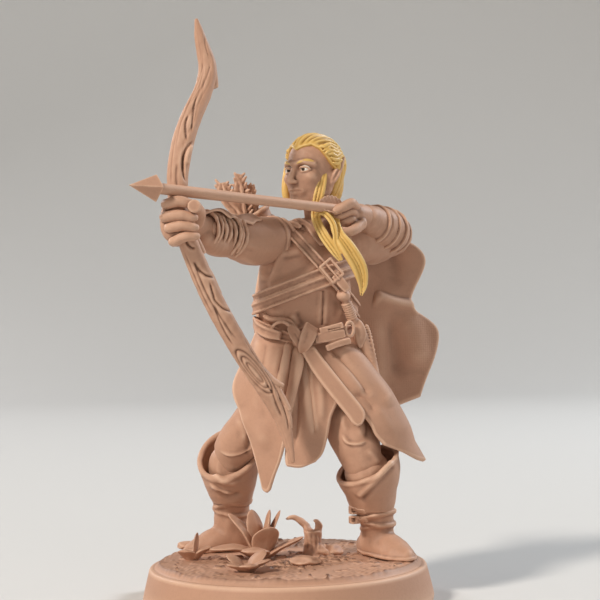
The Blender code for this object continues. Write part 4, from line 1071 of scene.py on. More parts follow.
def make_left_arm():
    clay = Clay((3.2, -0.6, 28.2), (12.4, 8.6, 34.2), 0.1)
    clay.tube(LEFT_UPPER_ARM, 0)
    form = clay.form()
    form.strokes(
        ([(7.0, 3.0, 29.2), (8.3, 4.2, 29.3), (9.7, 6.0, 29.9)], 0.35, 0.2),
        ([(6.6, 1.2, 31.9), (8.2, 3.2, 32.4), (9.8, 5.6, 32.6)], 0.35, 0.16),
    )
    piece("left_sleeve_cloth", form.rough(0.04, 1.5, 37), "left_sleeve", RESIN_CLOTH)
    guard = Clay((5.6, -0.9, 29.4), (12.4, 8.4, 34.9), 0.09)
    guard.tube(LEFT_FOREARM, 0)
    way = unit(np.array(LEFT_FOREARM[3][:3]) - np.array(LEFT_FOREARM[1][:3]))
    plain = guard.copy()
    for at, width, thick in (
        (2.75, 0.3, 0.2), (1.9, 0.8, 0.1), (1.35, 0.22, 0.26), (0.1, 0.25, 0.26), (-0.3, 0.8, 0.1),
        (-1.4, 0.4, 0.16),
    ):
        centre = np.array(LEFT_FOREARM[1][:3]) + way * at
        merge(guard, band(plain, centre, way, width, thick, 0.08, inner=0), 0.03)
    piece("left_vambrace_plates", guard.form().rough(0.02, 1.0, 41), "left_vambrace")


def make_left_hand():
    clay = Clay((3.6, -3.2, 30.6), (8.9, 2.6, 35.0), 0.06)
    clay.tube([(7.35, 1.05, 32.9, 1.05), (6.75, 0.35, 33, 1.1), (6.2, -0.3, 33.0, 0.95)], 0)
    clay.put(ellipsoid((6.3, -0.3, 33.0), (0.85, 0.85, 1.0)), 0.3)
    rows = (
        [
            (6.4, -0.7, 33.6, 0.5), (6.05, -1.6, 33.95, 0.46), (5.35, -2.15, 33.65, 0.44),
            (4.6, -2.2, 33.3, 0.38),
        ],
        [
            (6.4, -0.6, 33.1, 0.5), (5.9, -1.35, 33.3, 0.45), (5.2, -1.7, 33.0, 0.4),
            (4.7, -1.6, 32.85, 0.34),
        ],
        [
            (6.4, -0.5, 32.6, 0.5), (6.0, -1.1, 32.6, 0.45), (5.5, -1.3, 32.5, 0.4),
            (5.2, -1.2, 32.5, 0.34),
        ],
        [
            (6.8, -0.6, 32.3, 0.6), (6.3, -1.5, 31.75, 0.46), (5.7, -2.0, 31.5, 0.42),
            (5.05, -2.2, 31.6, 0.34),
        ],
    )
    for row in rows:
        clay.tube(row, 0.05)
    form = clay.form()
    form.stroke([(6.9, -1.0, 33.5), (6.75, -1.15, 32.9), (6.7, -1.1, 32.3)], 0.25, -0.08)
    piece("left_hand_draw", form.rough(0.012, 0.8, 43), "left_hand")


# ---------------------------------------------------------------- legs and boots

RIGHT_LEG = [
    (0.3, 1, 19.4, 1.5), (-0.5, 1.15, 17.9, 1.85), (-2.4, 1.5, 15.5, 2.0), (-4.3, 2, 13, 1.85),
    (-4.75, 2.7, 11.3, 1.55), (-4.85, 3.2, 10.3, 1.4),
]
LEFT_LEG = [
    (4.4, 0.1, 19.4, 1.5), (4.6, -0.4, 17.9, 1.9), (5.2, -1.5, 15.2, 1.95), (6.35, -2.3, 12.4, 1.9),
    (6.85, -2, 10.9, 1.65), (7, -1.7, 9.9, 1.45),
]
RIGHT_SHAFT = [
    (-4.8, 2.9, 11.4, 2.05), (-4.95, 3.8, 9.4, 1.85), (-4.95, 4.5, 7.6, 1.6), (-4.95, 4.85, 6.2, 1.6),
    (-4.75, 4.95, 4.6, 1.45),
]
LEFT_SHAFT = [
    (6.95, -2, 10.9, 2), (7.2, -1.3, 9, 1.85), (7.6, -0.6, 7.3, 1.55), (7.75, -0.2, 6, 1.4),
    (7.6, 0.2, 4.6, 1.35),
]
RIGHT_FOOT = [
    (-3.55, 5.15, 1.05, 1.7), (-4.7, 4.95, 1.3, 2.4), (-6.2, 4.5, 1.35, 2.1), (-7.6, 4.1, 1.2, 1.35),
    (-8.75, 3.8, 0.45, 0.75),
]
LEFT_FOOT = [
    (7, 1.45, 1, 1.7), (7.6, 0.2, 1.25, 2.3), (8.6, -1.1, 1.45, 2), (9.35, -2.3, 1.4, 1.45),
    (9.9, -3.3, 0.75, 0.95),
]


def make_legs():
    clay = Clay((-7.2, -1.6, 9.4), (2.6, 5.0, 21.2), 0.1)
    clay.tube(RIGHT_LEG[:3] + [(-4.15, 1.85, 13.4, 1.9), (-4.45, 2.1, 12.9, 1.75)], 0)
    clay.tube([(r[0], r[1], r[2], r[3] - 0.15) for r in RIGHT_LEG[2:]], 0.15)
    form = clay.form()
    form.stroke([(-5.9, 12.9), (-4.9, 12.45), (-3.7, 12.6), (-2.8, 13.3)], 0.22, 0.22, side=-1)
    form.strokes(
        ([(-4.2, 16.0), (-3.6, 14.6), (-3.4, 13.4)], 0.4, 0.2),
        ([(-2.6, 14.2), (-2.9, 13.0), (-3.2, 12.2)], 0.35, 0.18),
        ([(-3.1, 14.6), (-3.2, 13.4), (-3.6, 12.4)], 0.25, -0.16),
    )
    piece("right_leg_trouser", form.rough(0.04, 1.8, 47), "right_leg", RESIN_CLOTH)
    clay = Clay((2.4, -5.0, 9.0), (9.2, 2.4, 21.2), 0.1)
    clay.tube(LEFT_LEG[:3] + [(6.0, -2.15, 13.4, 1.95), (6.2, -2.2, 13.0, 1.8)], 0)
    clay.tube([(r[0], r[1], r[2], r[3] - 0.12) for r in LEFT_LEG[2:]], 0.15)
    form = clay.form()
    form.stroke([(4.6, 14.4), (5.2, 13.6), (6.2, 13.5), (7.0, 13.9)], 0.22, 0.25, side=-1)
    form.strokes(
        ([(6.6, 16.6), (6.9, 15.0), (6.7, 13.6)], 0.25, -0.18),
        ([(6.2, 16.6), (6.4, 15.2), (6.2, 13.9)], 0.35, 0.16),
        ([(4.6, 16.8), (4.9, 15.2), (5.2, 14.2)], 0.3, 0.14),
        ([(6.6, 13.2), (7.4, 12.4), (8.0, 11.6)], 0.3, 0.16),
    )
    piece("left_leg_trouser", form.rough(0.04, 1.8, 53), "left_leg", RESIN_CLOTH)


def boot(low, high, shaft, foot, rolls, name, node_name, seed):
    clay = Clay(low, high, 0.095)
    clay.tube(shaft, 0)
    rows = [(x, y, GROUND_Z + h - w, w) for x, y, w, h in foot]
    clay.tube(rows, 0.45)
    plain = clay.copy()
    for centre, tilt, width, thick in rolls:
        merge(clay, band(plain, centre, tilt, width, thick, 0.22, inner=0), 0.12)
    sole = band(plain, (0, 0, GROUND_Z + 0.14), (0, 0, 1), 0.3, 0.13, 0.05, inner=0)
    merge(clay, sole, 0.03)
    clay.keep(half_space((0, 0, GROUND_Z), (0, 0, -1)), 0.04)
    piece(name, clay.form().rough(0.03, 1.3, seed), node_name)
    return plain


def make_boots():
    boot(
        (-9.9, 1.2, 3.4), (-2.0, 7.2, 13.8), RIGHT_SHAFT, RIGHT_FOOT,
        [
            ((-4.95, 4.3, 8.5), (0.25, -0.2, 1), 0.5, 0.22),
            ((-4.95, 4.5, 7.8), (-0.2, 0.1, 1), 0.4, 0.16),
            ((-4.95, 4.7, 7.15), (0.15, -0.15, 1), 0.35, 0.14),
            ((-4.8, 3.9, 9.3), (0.1, -0.1, 1), 0.5, 0.12),
        ],
        "right_boot_leather", "right_boot", 59,
    )
    plain = boot(
        (4.4, -4.9, 3.4), (11.9, 3.2, 13.2), LEFT_SHAFT, LEFT_FOOT,
        [
            ((7.6, -0.6, 7.15), (-0.2, 0.1, 1), 0.42, 0.26),
            ((7.65, -0.5, 6.6), (0.12, -0.1, 1), 0.4, 0.2),
            ((7.7, -0.3, 6.15), (-0.1, 0.1, 1), 0.3, 0.14),
        ],
        "left_boot_leather", "left_boot", 61,
    )
    straps = band(plain, (7.4, -0.9, 7.75), (0.12, -0.05, 1), 0.42, 0.26, 0.05)
    merge(straps, band(plain, (7.2, -1.1, 6.95), (-0.1, 0.05, 1), 0.4, 0.26, 0.05), 0.02)
    for z in (7.75, 6.95):
        straps.put(block((5.75, -1.6, z), (0.42, 0.4, 0.34), spin(25), 0.07), 0.03)
        straps.put(block((5.6, -2.0, z), (0.24, 0.25, 0.17), spin(25), 0.05), 0.03, cut=True)
    straps.keep(half_space((7.3, -0.9, 7), (1, -0.35, 0)), 0.05)
    piece("left_boot_straps_buckled", straps.form(), "left_boot_straps")


def shell(clay, rows, thick):
    """A hollow cuff: the tube through the rows, less the same tube made smaller."""
    inner = [(r[0], r[1], r[2], r[3] - thick) for r in rows]
    way = unit(np.array(rows[-1][:3]) - np.array(rows[0][:3]))
    inner.append((*(np.array(rows[-1][:3]) + way * 2), rows[-1][3] - thick))
    outer = list(rows) + [(*(np.array(rows[-1][:3]) + way * 1.2), rows[-1][3])]
    clay.tube(outer, 0)
    clay.tube(inner, 0.05, cut=True)
    return clay


def rim_roll(clay, point, normal, radius):
    """Rolls the cut edge of a shell: a bead of that radius where the plane meets the shell."""
    _, (x, y, z) = clay.window()
    off = half_space(point, normal)(x, y, z)
    wall = np.maximum(clay.field + radius * 0.6, 0)
    clay.field = np.maximum(clay.field, off)
    bead = np.sqrt(wall**2 + off**2) - radius
    clay.field = smooth_min(clay.field, bead.astype(np.float32), 0.1)


def make_cuffs():
    clay = Clay((-9.0, -1.4, 8.0), (-1.4, 6.9, 15.6), 0.095)
    shell(clay, [(-4.9, 3.7, 9.0, 1.95), (-5.0, 3.0, 10.8, 2.5), (-5.1, 2.6, 12.6, 2.85)], 0.32)
    rim_roll(clay, (-5.0, 2.4, 12.1), (-0.25, -0.62, 0.72), 0.24)
    form = clay.form()
    form.stroke([(-6.6, 11.2), (-5.4, 10.2), (-3.9, 10.0)], 0.3, 0.25)
    form.stroke([(-6.8, 10.2), (-5.6, 9.4), (-4.3, 9.0)], 0.3, 0.3, side=1)
    form.stroke([(-6.3, 9.5), (-5.2, 8.8), (-3.6, 9.2)], 0.25, -0.2)
    piece("right_boot_cuff_folded", form.rough(0.04, 1.6, 67), "right_boot_cuff")
    clay = Clay((3.9, -5.6, 7.6), (10.6, 1.8, 14.4), 0.095)
    shell(clay, [(7.3, -1.1, 8.4, 1.95), (7.15, -1.5, 9.8, 2.3), (6.95, -1.85, 11.2, 2.75)], 0.3)
    rim_roll(clay, (6.9, -1.9, 11.6), (-0.42, -0.32, 0.85), 0.2)
    form = clay.form()
    form.strokes(
        ([(9.0, 12.2), (8.0, 11.2), (6.9, 10.1), (5.9, 9.0)], 0.26, 0.22),
        ([(9.2, 11.7), (8.3, 10.8), (7.2, 9.7), (6.2, 8.7)], 0.2, -0.12),
        taper=0.1,
    )
    form.stroke([(4.6, 11.9), (5.8, 11.3), (6.9, 11.2)], 0.25, 0.22, side=1)
    piece("left_boot_cuff_folded", form.rough(0.03, 1.6, 71), "left_boot_cuff")


# ---------------------------------------------------------------- skirt, sash and cloak


def hip_point(angle, z, off):
    """A point round the trunk at that height, that far off it."""
    rows = np.array(TRUNK)
    at = [np.interp(z, rows[:, 2], rows[:, k]) for k in (0, 1, 3, 4, 5)]
    a, t = math.radians(angle), math.radians(at[4])
    u, v = (at[2] + off) * math.cos(a), (at[3] + off) * math.sin(a)
    return (at[0] + u * math.cos(t) - v * math.sin(t), at[1] + u * math.sin(t) + v * math.cos(t), z)


def mark(path, width, height, **more):
    """A stroke to make later, on a sheet of cloth."""
    return lambda form: form.stroke(path, width, height, **more)


SKIRT_THICK = 0.42
SKIRT_OFF = 0.22  # how far the skirt lies off the hips
BELT_DEPTH = 0.3  # how far below the middle of the belt a panel starts


def panel(name, angles, rows, marks, seed):
    """One panel of the skirt, from under the belt down through rows of points."""
    top = []
    for angle in angles:
        x, y, _ = hip_point(angle, 22.8, SKIRT_OFF)
        top.append(hip_point(angle, belt_height(x, y) - BELT_DEPTH, SKIRT_OFF))
    grid = surface([top] + rows, 30, 34)
    marks = list(marks) + [lambda form: form.rough(0.04, 3.0, seed)]
    piece(f"{name}_panel", cloth(grid, SKIRT_THICK, marks), name, RESIN_CLOTH)


SKIRT_RIGHT = [
    [(3.9, -3.75, 19.5), (6.0, -3.7, 19.4), (7.7, -1.2, 19.6), (7.5, 2.6, 19.4)],
    [(5.5, -4.2, 17.5), (7.5, -3.8, 17.2), (9.1, -1.4, 17.5), (8.7, 2.5, 17.4)],
    [(7.1, -4.2, 15.4), (8.7, -3.7, 15.3), (10.2, -1.3, 15.4), (10.0, 2.0, 15.4)],
    [(7.6, -4.05, 14.4), (9.25, -3.4, 14.1), (10.7, -1.5, 13.9), (10.8, 1.0, 13.8)],
    [(8.3, -3.85, 13.55), (9.6, -3.1, 13.0), (10.8, -1.9, 12.35), (11.85, -0.5, 11.85)],
]


def make_skirt():
    panel(
        "skirt_left", (186, 220, 243, 264),
        [
            [(-3.3, -0.2, 20.7), (-1.9, -2.6, 20.5), (0.1, -3.4, 20.4), (1.5, -3.7, 20.4)],
            [(-4.3, -0.9, 18.3), (-2.2, -3.0, 18.0), (-0.2, -3.8, 17.9), (0.95, -4.2, 18.0)],
            [(-3.35, -2.3, 15.6), (-2.2, -3.4, 15.3), (-0.9, -4.0, 15.1), (0.2, -4.45, 15.3)],
            [(-2.55, -3.1, 12.9), (-1.9, -3.6, 12.6), (-1.2, -3.9, 12.5), (-0.5, -4.2, 12.7)],
            [(-1.9, -3.35, 10.0), (-1.78, -3.45, 9.85), (-1.66, -3.55, 9.8), (-1.52, -3.65, 9.95)],
        ],
        [
            mark([(0.52, 22.1), (0.2, 21.0), (-0.16, 19.4), (-0.5, 17.6)], 0.22, 0.28, taper=0.1),
            mark([(0.9, 21.9), (0.62, 20.8), (0.37, 19.4), (-0.03, 17.4)], 0.22, -0.34, taper=0.1),
            mark([(0.1, 22.0), (-0.25, 20.9), (-0.6, 19.2)], 0.24, -0.16),
            mark(
                [(1.2, 21.9), (1.3, 20.4), (1.0, 18.6), (0.5, 16.6), (0.0, 14.6)], 0.32, 0.3, taper=0.12,
            ),
            mark([(-1.9, 22.6), (-2.15, 21.5), (-2.5, 20.2)], 0.28, 0.12),
            mark([(-1.4, 22.4), (-1.6, 21.2), (-1.9, 19.8)], 0.28, -0.12),
            mark([(-3.9, 16.8), (-2.4, 14.9), (-1.2, 13.2)], 0.6, 0.2),
            mark([(-1.4, 19.4), (-1.9, 17.4), (-1.8, 15.2)], 0.5, -0.12),
        ],
        seed=73,
    )
    panel(
        "skirt_centre", (258, 274, 292),
        [
            [(0.9, -3.45, 18.2), (2.6, -3.7, 18.2), (4.35, -3.6, 18.0)],
            [(0.4, -3.8, 15.6), (2.0, -4.1, 15.4), (3.7, -4.0, 15.9)],
            [(0.15, -4.0, 13.6), (1.7, -4.2, 13.3), (3.35, -4.1, 14.3)],
            [(0.1, -4.03, 12.5), (1.5, -4.23, 12.2), (2.95, -4.13, 13.0)],
            [(0.15, -4.05, 12.0), (1.2, -4.25, 11.9), (2.35, -4.15, 12.3)],
        ],
        [
            mark([(1.95, 20.8), (2.1, 18.4), (2.3, 16.4), (2.45, 14.4)], 0.14, -0.28, taper=0.12),
            mark([(1.7, 20.6), (1.8, 18.4), (1.9, 16.4), (1.9, 14.2)], 0.3, 0.12),
            mark([(1.2, 18.6), (1.0, 15.4), (0.7, 12.9)], 0.24, -0.16),
            mark([(2.8, 19.4), (3.0, 17.2), (2.9, 15.0)], 0.35, 0.16),
        ],
        seed=79,
    )
    panel(
        "skirt_right", (274, 308, 345, 384), SKIRT_RIGHT,
        [
            mark([(3.6, 21.8), (5.1, 20.3), (6.2, 18.9), (7.2, 17.5)], 0.26, -0.34, taper=0.15),
            mark(
                [(4.3, 21.9), (5.8, 21.0), (6.9, 19.7), (8.0, 18.1), (8.9, 16.4)], 0.5, 0.34, taper=0.15,
            ),
            mark([(5.4, 17.7), (6.4, 17.5), (7.2, 16.8), (7.5, 15.8)], 0.4, -0.3),
            mark([(8.2, 17.6), (9.5, 15.6), (10.7, 13.6)], 0.6, 0.16),
        ],
        seed=83,
    )
    pleats_behind = (
        (-1.6, 0.36), (-0.7, -0.36), (0.4, 0.36), (1.4, -0.36), (2.5, 0.36), (3.5, -0.36), (4.6, 0.36),
        (5.6, -0.3),
    )
    panel(
        "skirt_back", (32, 70, 118, 172),
        [
            [(7, 3.4, 18.2), (3.9, 4.4, 17.8), (0.2, 4.4, 17.8), (-2.9, 1.6, 18.2)],
            [(7.9, 3.7, 15.2), (4.4, 4.9, 14.4), (0, 4.9, 14.4), (-3.6, 2.9, 15)],
        ],
        [
            mark(
                [(x, 22.4), (x * 1.06 - 0.1, 18.0), (x * 1.15 - 0.2, 14.6)], 0.4, h, facing=(0, 1, 0),
                taper=0.15,
            )
            for x, h in pleats_behind
        ],
        seed=89,
    )
    tail = [
        [(1.65, -3.85, 21.3), (2.45, -3.85, 21.7)], [(2.6, -4.5, 19.6), (3.5, -4.45, 20.25)],
        [(3.9, -4.75, 17.8), (4.95, -4.65, 18.35)], [(5.2, -4.85, 16.15), (6.3, -4.75, 16.6)],
        [(5.65, -4.88, 15.5), (6.5, -4.8, 15.9)], [(6.0, -4.9, 15.25), (6.25, -4.87, 15.35)],
    ]
    piece("sash_tail_ribbon", cloth(surface(tail, 18, 16), 0.34), "sash_tail", RESIN_CLOTH)


CLOAK = [
    [(-1.2, 3.5, 31.2), (1.3, 3.9, 31.6), (4.2, 4.6, 31.4), (7.4, 7.5, 31.5), (10.4, 8.6, 31.8)],
    [(-1.9, 3.8, 28.5), (1.2, 4.3, 28.3), (4.6, 5.3, 28), (8.6, 7.6, 28.6), (13.1, 8.6, 29.6)],
    [(-2.3, 3.8, 25.4), (1, 4.4, 25), (4.9, 5.6, 24.6), (8.6, 6.6, 25.6), (11.6, 7.9, 25.3)],
    [(-1.6, 4.7, 21.6), (1.4, 5.2, 21.3), (5.2, 6.2, 20.9), (9.8, 7, 21.8), (14.2, 8.6, 22.6)],
    [(-0.9, 5.6, 17.9), (1.8, 6, 17.3), (5.4, 6.5, 16.4), (8.6, 6.9, 15.9), (12.3, 7.6, 17)],
]


def make_cloak():
    grid = surface(CLOAK, 26, 26)
    marks = [
        mark([(12.6, 25.4), (10.5, 25.7), (8.4, 26.4)], 0.8, 0.7, side=-1, taper=0.1, sharp=0.25),
        mark([(11.0, 25.0), (12.0, 22.0), (12.4, 19.0)], 1.1, 0.35),
        mark([(9.4, 25.0), (10.0, 21.6), (10.2, 17.6)], 1.0, -0.4),
        mark([(9.6, 31.0), (10.4, 28.6), (10.0, 26.4)], 0.9, -0.3),
        mark([(8.4, 25.0), (8.6, 21.0), (8.4, 17.0)], 0.8, 0.35),
        mark([(1.0, 30.0), (1.2, 25.0), (2.4, 18.4)], 0.9, -0.45),
        mark([(3.6, 30.0), (4.2, 25.0), (5.4, 17.6)], 0.9, -0.4),
        mark([(-0.8, 29.6), (-0.6, 25.0), (0.4, 18.6)], 0.9, 0.3),
        lambda form: form.rough(0.06, 3.5, 97),
    ]
    piece("cloak_cloth", cloth(grid, 0.5, marks), "cloak", RESIN_WEAVE)


# ---------------------------------------------------------------- head and hair

HEAD_AT = np.array((2.65, -0.4, 36.86))
FACE_TURN = spin(-40)


def side_tube(sign, rows):
    """A tube for one side of the head, whose rows are given for the side of positive x."""
    return tube([(sign * x, *rest) for x, *rest in rows])


def make_head():
    clay = Clay((-3.4, -3.8, -5.6), (3.4, 3.6, 3.6), 0.06)
    clay.put(ellipsoid((0, 0.45, 0.75), (2.05, 2.55, 2.35)), 0)
    clay.put(ellipsoid((0, -0.65, -0.9), (1.62, 1.75, 2.15)), 0.5)
    clay.put(ellipsoid((0, -1.72, -2.72), (0.62, 0.55, 0.5)), 0.5)
    for sign in (-1, 1):
        jaw = [
            (0, -1.6, -2.7, 0.5), (1.1, -0.8, -2.35, 0.5), (1.5, 0.15, -1.7, 0.5), (1.6, 0.45, -0.6, 0.5),
        ]
        clay.put(side_tube(sign, jaw), 0.5)
        clay.put(ellipsoid((sign * 1.12, -1.5, -0.6), (0.55, 0.5, 0.42)), 0.45)
        clay.put(side_tube(
            sign, [(0.25, -2.22, 0.5, 0.2), (0.9, -2.08, 0.62, 0.24), (1.5, -1.45, 0.45, 0.2)],
        ), 0.3)
        clay.put(ellipsoid((sign * 0.82, -2.3, 0.1), (0.5, 0.42, 0.3)), 0.25, cut=True)
        upper_lid = [
            (0.36, -1.98, 0.02, 0.07), (0.72, -2.2, 0.2, 0.11), (1.15, -2.06, 0.16, 0.08),
            (1.35, -1.75, 0.0, 0.06),
        ]
        clay.put(side_tube(sign, upper_lid), 0.08)
        lower_lid = [
            (0.36, -1.98, -0.02, 0.06), (0.75, -2.15, -0.17, 0.07), (1.15, -2.0, -0.14, 0.07),
            (1.35, -1.75, 0.0, 0.06),
        ]
        clay.put(side_tube(sign, lower_lid), 0.1)
        clay.put(ellipsoid((sign * 0.28, -2.58, -1.05), (0.2, 0.25, 0.17)), 0.15)
        clay.put(ellipsoid((sign * 0.14, -2.72, -1.24), (0.07, 0.1, 0.06)), 0.05, cut=True)
        ear = [
            (1.85, 0.35, -1.2, 0.22), (2.1, 0.5, -0.75, 0.3), (2.28, 0.75, -0.2, 0.34),
            (2.42, 1.05, 0.4, 0.26), (2.6, 1.4, 1.15, 0.08),
        ]
        clay.put(side_tube(sign, ear), 0.15)
        hollow = [(2.3, 0.25, -0.85, 0.12), (2.52, 0.5, -0.25, 0.16), (2.66, 0.85, 0.4, 0.09)]
        clay.put(side_tube(sign, hollow), 0.08, cut=True)
    clay.tube([
        (0, -2.12, 0.42, 0.2), (0, -2.5, -0.2, 0.23), (0, -2.8, -0.75, 0.26), (0, -2.86, -1.0, 0.27),
    ], 0.25)
    clay.put(ellipsoid((0, -1.95, -1.75), (0.75, 0.4, 0.5)), 0.35)
    clay.tube([
        (-0.62, -2.1, -1.74, 0.07), (-0.25, -2.34, -1.63, 0.12), (0, -2.38, -1.66, 0.1),
        (0.25, -2.34, -1.63, 0.12), (0.62, -2.1, -1.74, 0.07),
    ], 0.1)
    clay.tube([(-0.5, -2.1, -1.9, 0.08), (0, -2.3, -1.97, 0.15), (0.5, -2.1, -1.9, 0.08)], 0.1)
    clay.tube(
        [
            (-0.7, -2.1, -1.8, 0.03), (-0.3, -2.42, -1.79, 0.04), (0, -2.48, -1.82, 0.04),
            (0.3, -2.42, -1.79, 0.04), (0.7, -2.1, -1.8, 0.03),
        ],
        0.05, cut=True,
    )
    clay.tube([(0.0, 0.9, -5.3, 1.1), (0.0, 0.7, -3.6, 1.1), (0.05, 0.6, -2, 1.2)], 0.4)
    form = clay.form(2)
    form.rough(0.01, 0.7, 101)
    form.moved(FACE_TURN, HEAD_AT)
    piece("head_calm", form, "head")
    for name, (x, y, z), radius, glance, material in (
        ("eyeball", (0.84, -1.78, 0.04), (0.42, 0.42, 0.42), 0, EYE_PAINT),
        ("iris", (0.81, -2.03, 0.03), (0.24, 0.2, 0.24), 0.048, IRIS_PAINT),
    ):
        balls = Clay((-1.6, -2.6, -0.8), (1.6, -1.0, 0.8), 0.045)
        for sign in (-1, 1):
            balls.put(ellipsoid((sign * x + glance, y, z), radius), 0)
        eye = balls.form(2).moved(FACE_TURN, HEAD_AT)
        piece(f"head_{name}", eye, "", material)
    brows = Clay((-2.0, -2.9, 0.1), (2.0, -0.9, 1.2), 0.045)
    for sign in (-1, 1):
        for k in range(3):
            lift = 0.06 * k
            rows = (
                (0.3, -2.36, 0.5, 0.05), (0.75, -2.34, 0.62, 0.09),
                (1.2, -2.02, 0.7, 0.08), (1.55, -1.6, 0.6, 0.03),
            )
            brows.tube([(sign * x, y + lift, z + lift, r) for x, y, z, r in rows], 0.02)
    piece("head_eyebrows", brows.form().moved(FACE_TURN, HEAD_AT), "", HAIR)


# The cap of hair is an ellipsoid in the head's own frame. turn is the angle from the front, and
# polar the angle down from the crown. The hairline runs through these pairs of them.
HAIRLINE_TURNS = (0, 14, 32, 50, 66, 80, 92, 106, 130, 180)
HAIRLINE_POLARS = (68, 61, 56, 64, 82, 98, 106, 110, 122, 140)
HAIR_MIDDLE = (0, 0.5, 0.72)
HAIR_SIZE = (2.42, 2.8, 2.62)
HAIR_CAP = (HAIR_MIDDLE, HAIR_SIZE)
UNDER_CAP = ((0, 0.5, 0.62), (2.25, 2.62, 2.55))  # where the strands that hang behind start


def cap_point(cap, polar, turn, grow=0.0):
    """A point on a cap, which is the (middle, size) of an ellipsoid."""
    a, t = math.radians(polar), math.radians(turn)
    way = np.array((math.sin(a) * math.sin(t), -math.sin(a) * math.cos(t), math.cos(a)))
    return np.array(cap[0]) + way * (np.array(cap[1]) + grow)


def hairline(x, y, z):
    """Below 0 where the cap of hair covers the skull."""
    p = [v - m for v, m in zip((x, y, z), HAIR_MIDDLE)]
    turn = np.degrees(np.arctan2(np.abs(p[0]), -p[1]))
    polar = np.degrees(np.arctan2(np.hypot(p[0], p[1]), p[2]))
    return (polar - np.interp(turn, HAIRLINE_TURNS, HAIRLINE_POLARS)) * 0.042


def combed(turn, back_polar, back_turn):
    """A line over the cap from the hairline at that turn, combed back to a low point behind."""
    polar = float(np.interp(abs(turn), HAIRLINE_TURNS, HAIRLINE_POLARS)) - 3
    start, end = cap_point(HAIR_CAP, polar, turn), cap_point(HAIR_CAP, back_polar, back_turn)
    a, b = (unit((p - HAIR_MIDDLE) / HAIR_SIZE) for p in (start, end))
    angle = math.acos(float(np.clip(a @ b, -1, 1)))
    rows = []
    for t in np.linspace(0, 1, 9):
        way = (math.sin((1 - t) * angle) * a + math.sin(t * angle) * b) / math.sin(angle)
        way = unit(way + (0, 0, 0.16 * math.sin(math.pi * t)))
        rows.append(HAIR_MIDDLE + way * HAIR_SIZE)
    return rows


def make_hair():
    clay = Clay((-3.7, -3.6, -4.6), (3.7, 4.6, 4.0), 0.055)
    clay.put(ellipsoid(*HAIR_CAP), 0)
    clay.keep(hairline, 0.12)
    clay.tube([(0, 2.0, 0.6, 1.6), (0, 2.1, -1.2, 1.5), (0, 1.7, -2.6, 1.15), (0, 1.3, -3.6, 0.8)], 0.4)
    for k in range(19):
        share = k / 18 * 2 - 1
        turn = 180 + share * 80
        path = [
            (*cap_point(UNDER_CAP, p, turn + 7 * math.sin(p / 17 + k), 0.14), w)
            for p, w in ((50, 0.14), (85, 0.26), (115, 0.25))
        ]
        low = np.array(path[-1][:3]) * (0.72, 0.8, 1) + (0, 0.1, -1.5)
        path.append((*low, 0.22))
        path.append((low[0] * 0.75, low[1] * 0.85, low[2] - 1.0, 0.1))
        clay.tube(path, 0.04)
    far_lock = [
        (-2.15, -0.7, 0.4, 0.25), (-2.05, -1.0, -0.9, 0.34), (-1.95, -1.1, -2.0, 0.32),
        (-1.85, -0.9, -2.7, 0.18),
    ]
    clay.tube(far_lock, 0.05)
    for sign in (-1, 1):
        for k in range(6):
            polar, turn = 62 + 6 * k, 56 + 5 * k
            path = []
            for t, w in zip(np.linspace(0, 1, 6), (0.08, 0.17, 0.19, 0.19, 0.17, 0.08)):
                wave = 3.2 * math.sin(t * 9 + k * 1.3)
                at = cap_point(HAIR_CAP, polar + wave - 5 * t, sign * (turn + 42 * t), 0.08)
                path.append((*at, w))
            clay.tube(path, 0.03)
    form = clay.form()
    rng = np.random.default_rng(107)
    turns = np.linspace(4, 62, 11)
    for k, turn in enumerate(turns):
        for sign in (-1, 1):
            line = combed(sign * turn, 58 + 3.6 * k, sign * (178 - 4.5 * k))
            form.stroke(line, 0.18, rng.uniform(0.08, 0.12) * (-1) ** k, taper=0.12)
    form.moved(FACE_TURN, HEAD_AT)
    piece("hair_cap_strands", form, "hair", HAIR)


def lock(clay, rows, strands, width, twist, flat):
    """A lock of hair: two or more strands side by side along one path, which draw together at
    its ends."""
    rows = curve(rows, 5)
    _, side, out = frames(rows[:, :3], (0.3, -1, 0.2))
    t = np.linspace(0, 1, len(rows))
    for k in range(strands):
        share = (k - (strands - 1) / 2) / (strands - 1) * 2
        angle = twist * t * 2 * math.pi + k * 0.9
        off = side * (share * width * rows[:, 3] / rows[:, 3].max())[:, None]
        off += out * (0.06 * np.sin(angle) * (rows[:, 3] > 0))[:, None]
        radius = rows[:, 3] * (flat + 0.12 * np.cos(k * 2.1))
        line = np.hstack([rows[:, :3] + off, radius[:, None]])
        clay.put([capsule(a, b) for a, b in zip(line, line[1:])], 0.03)


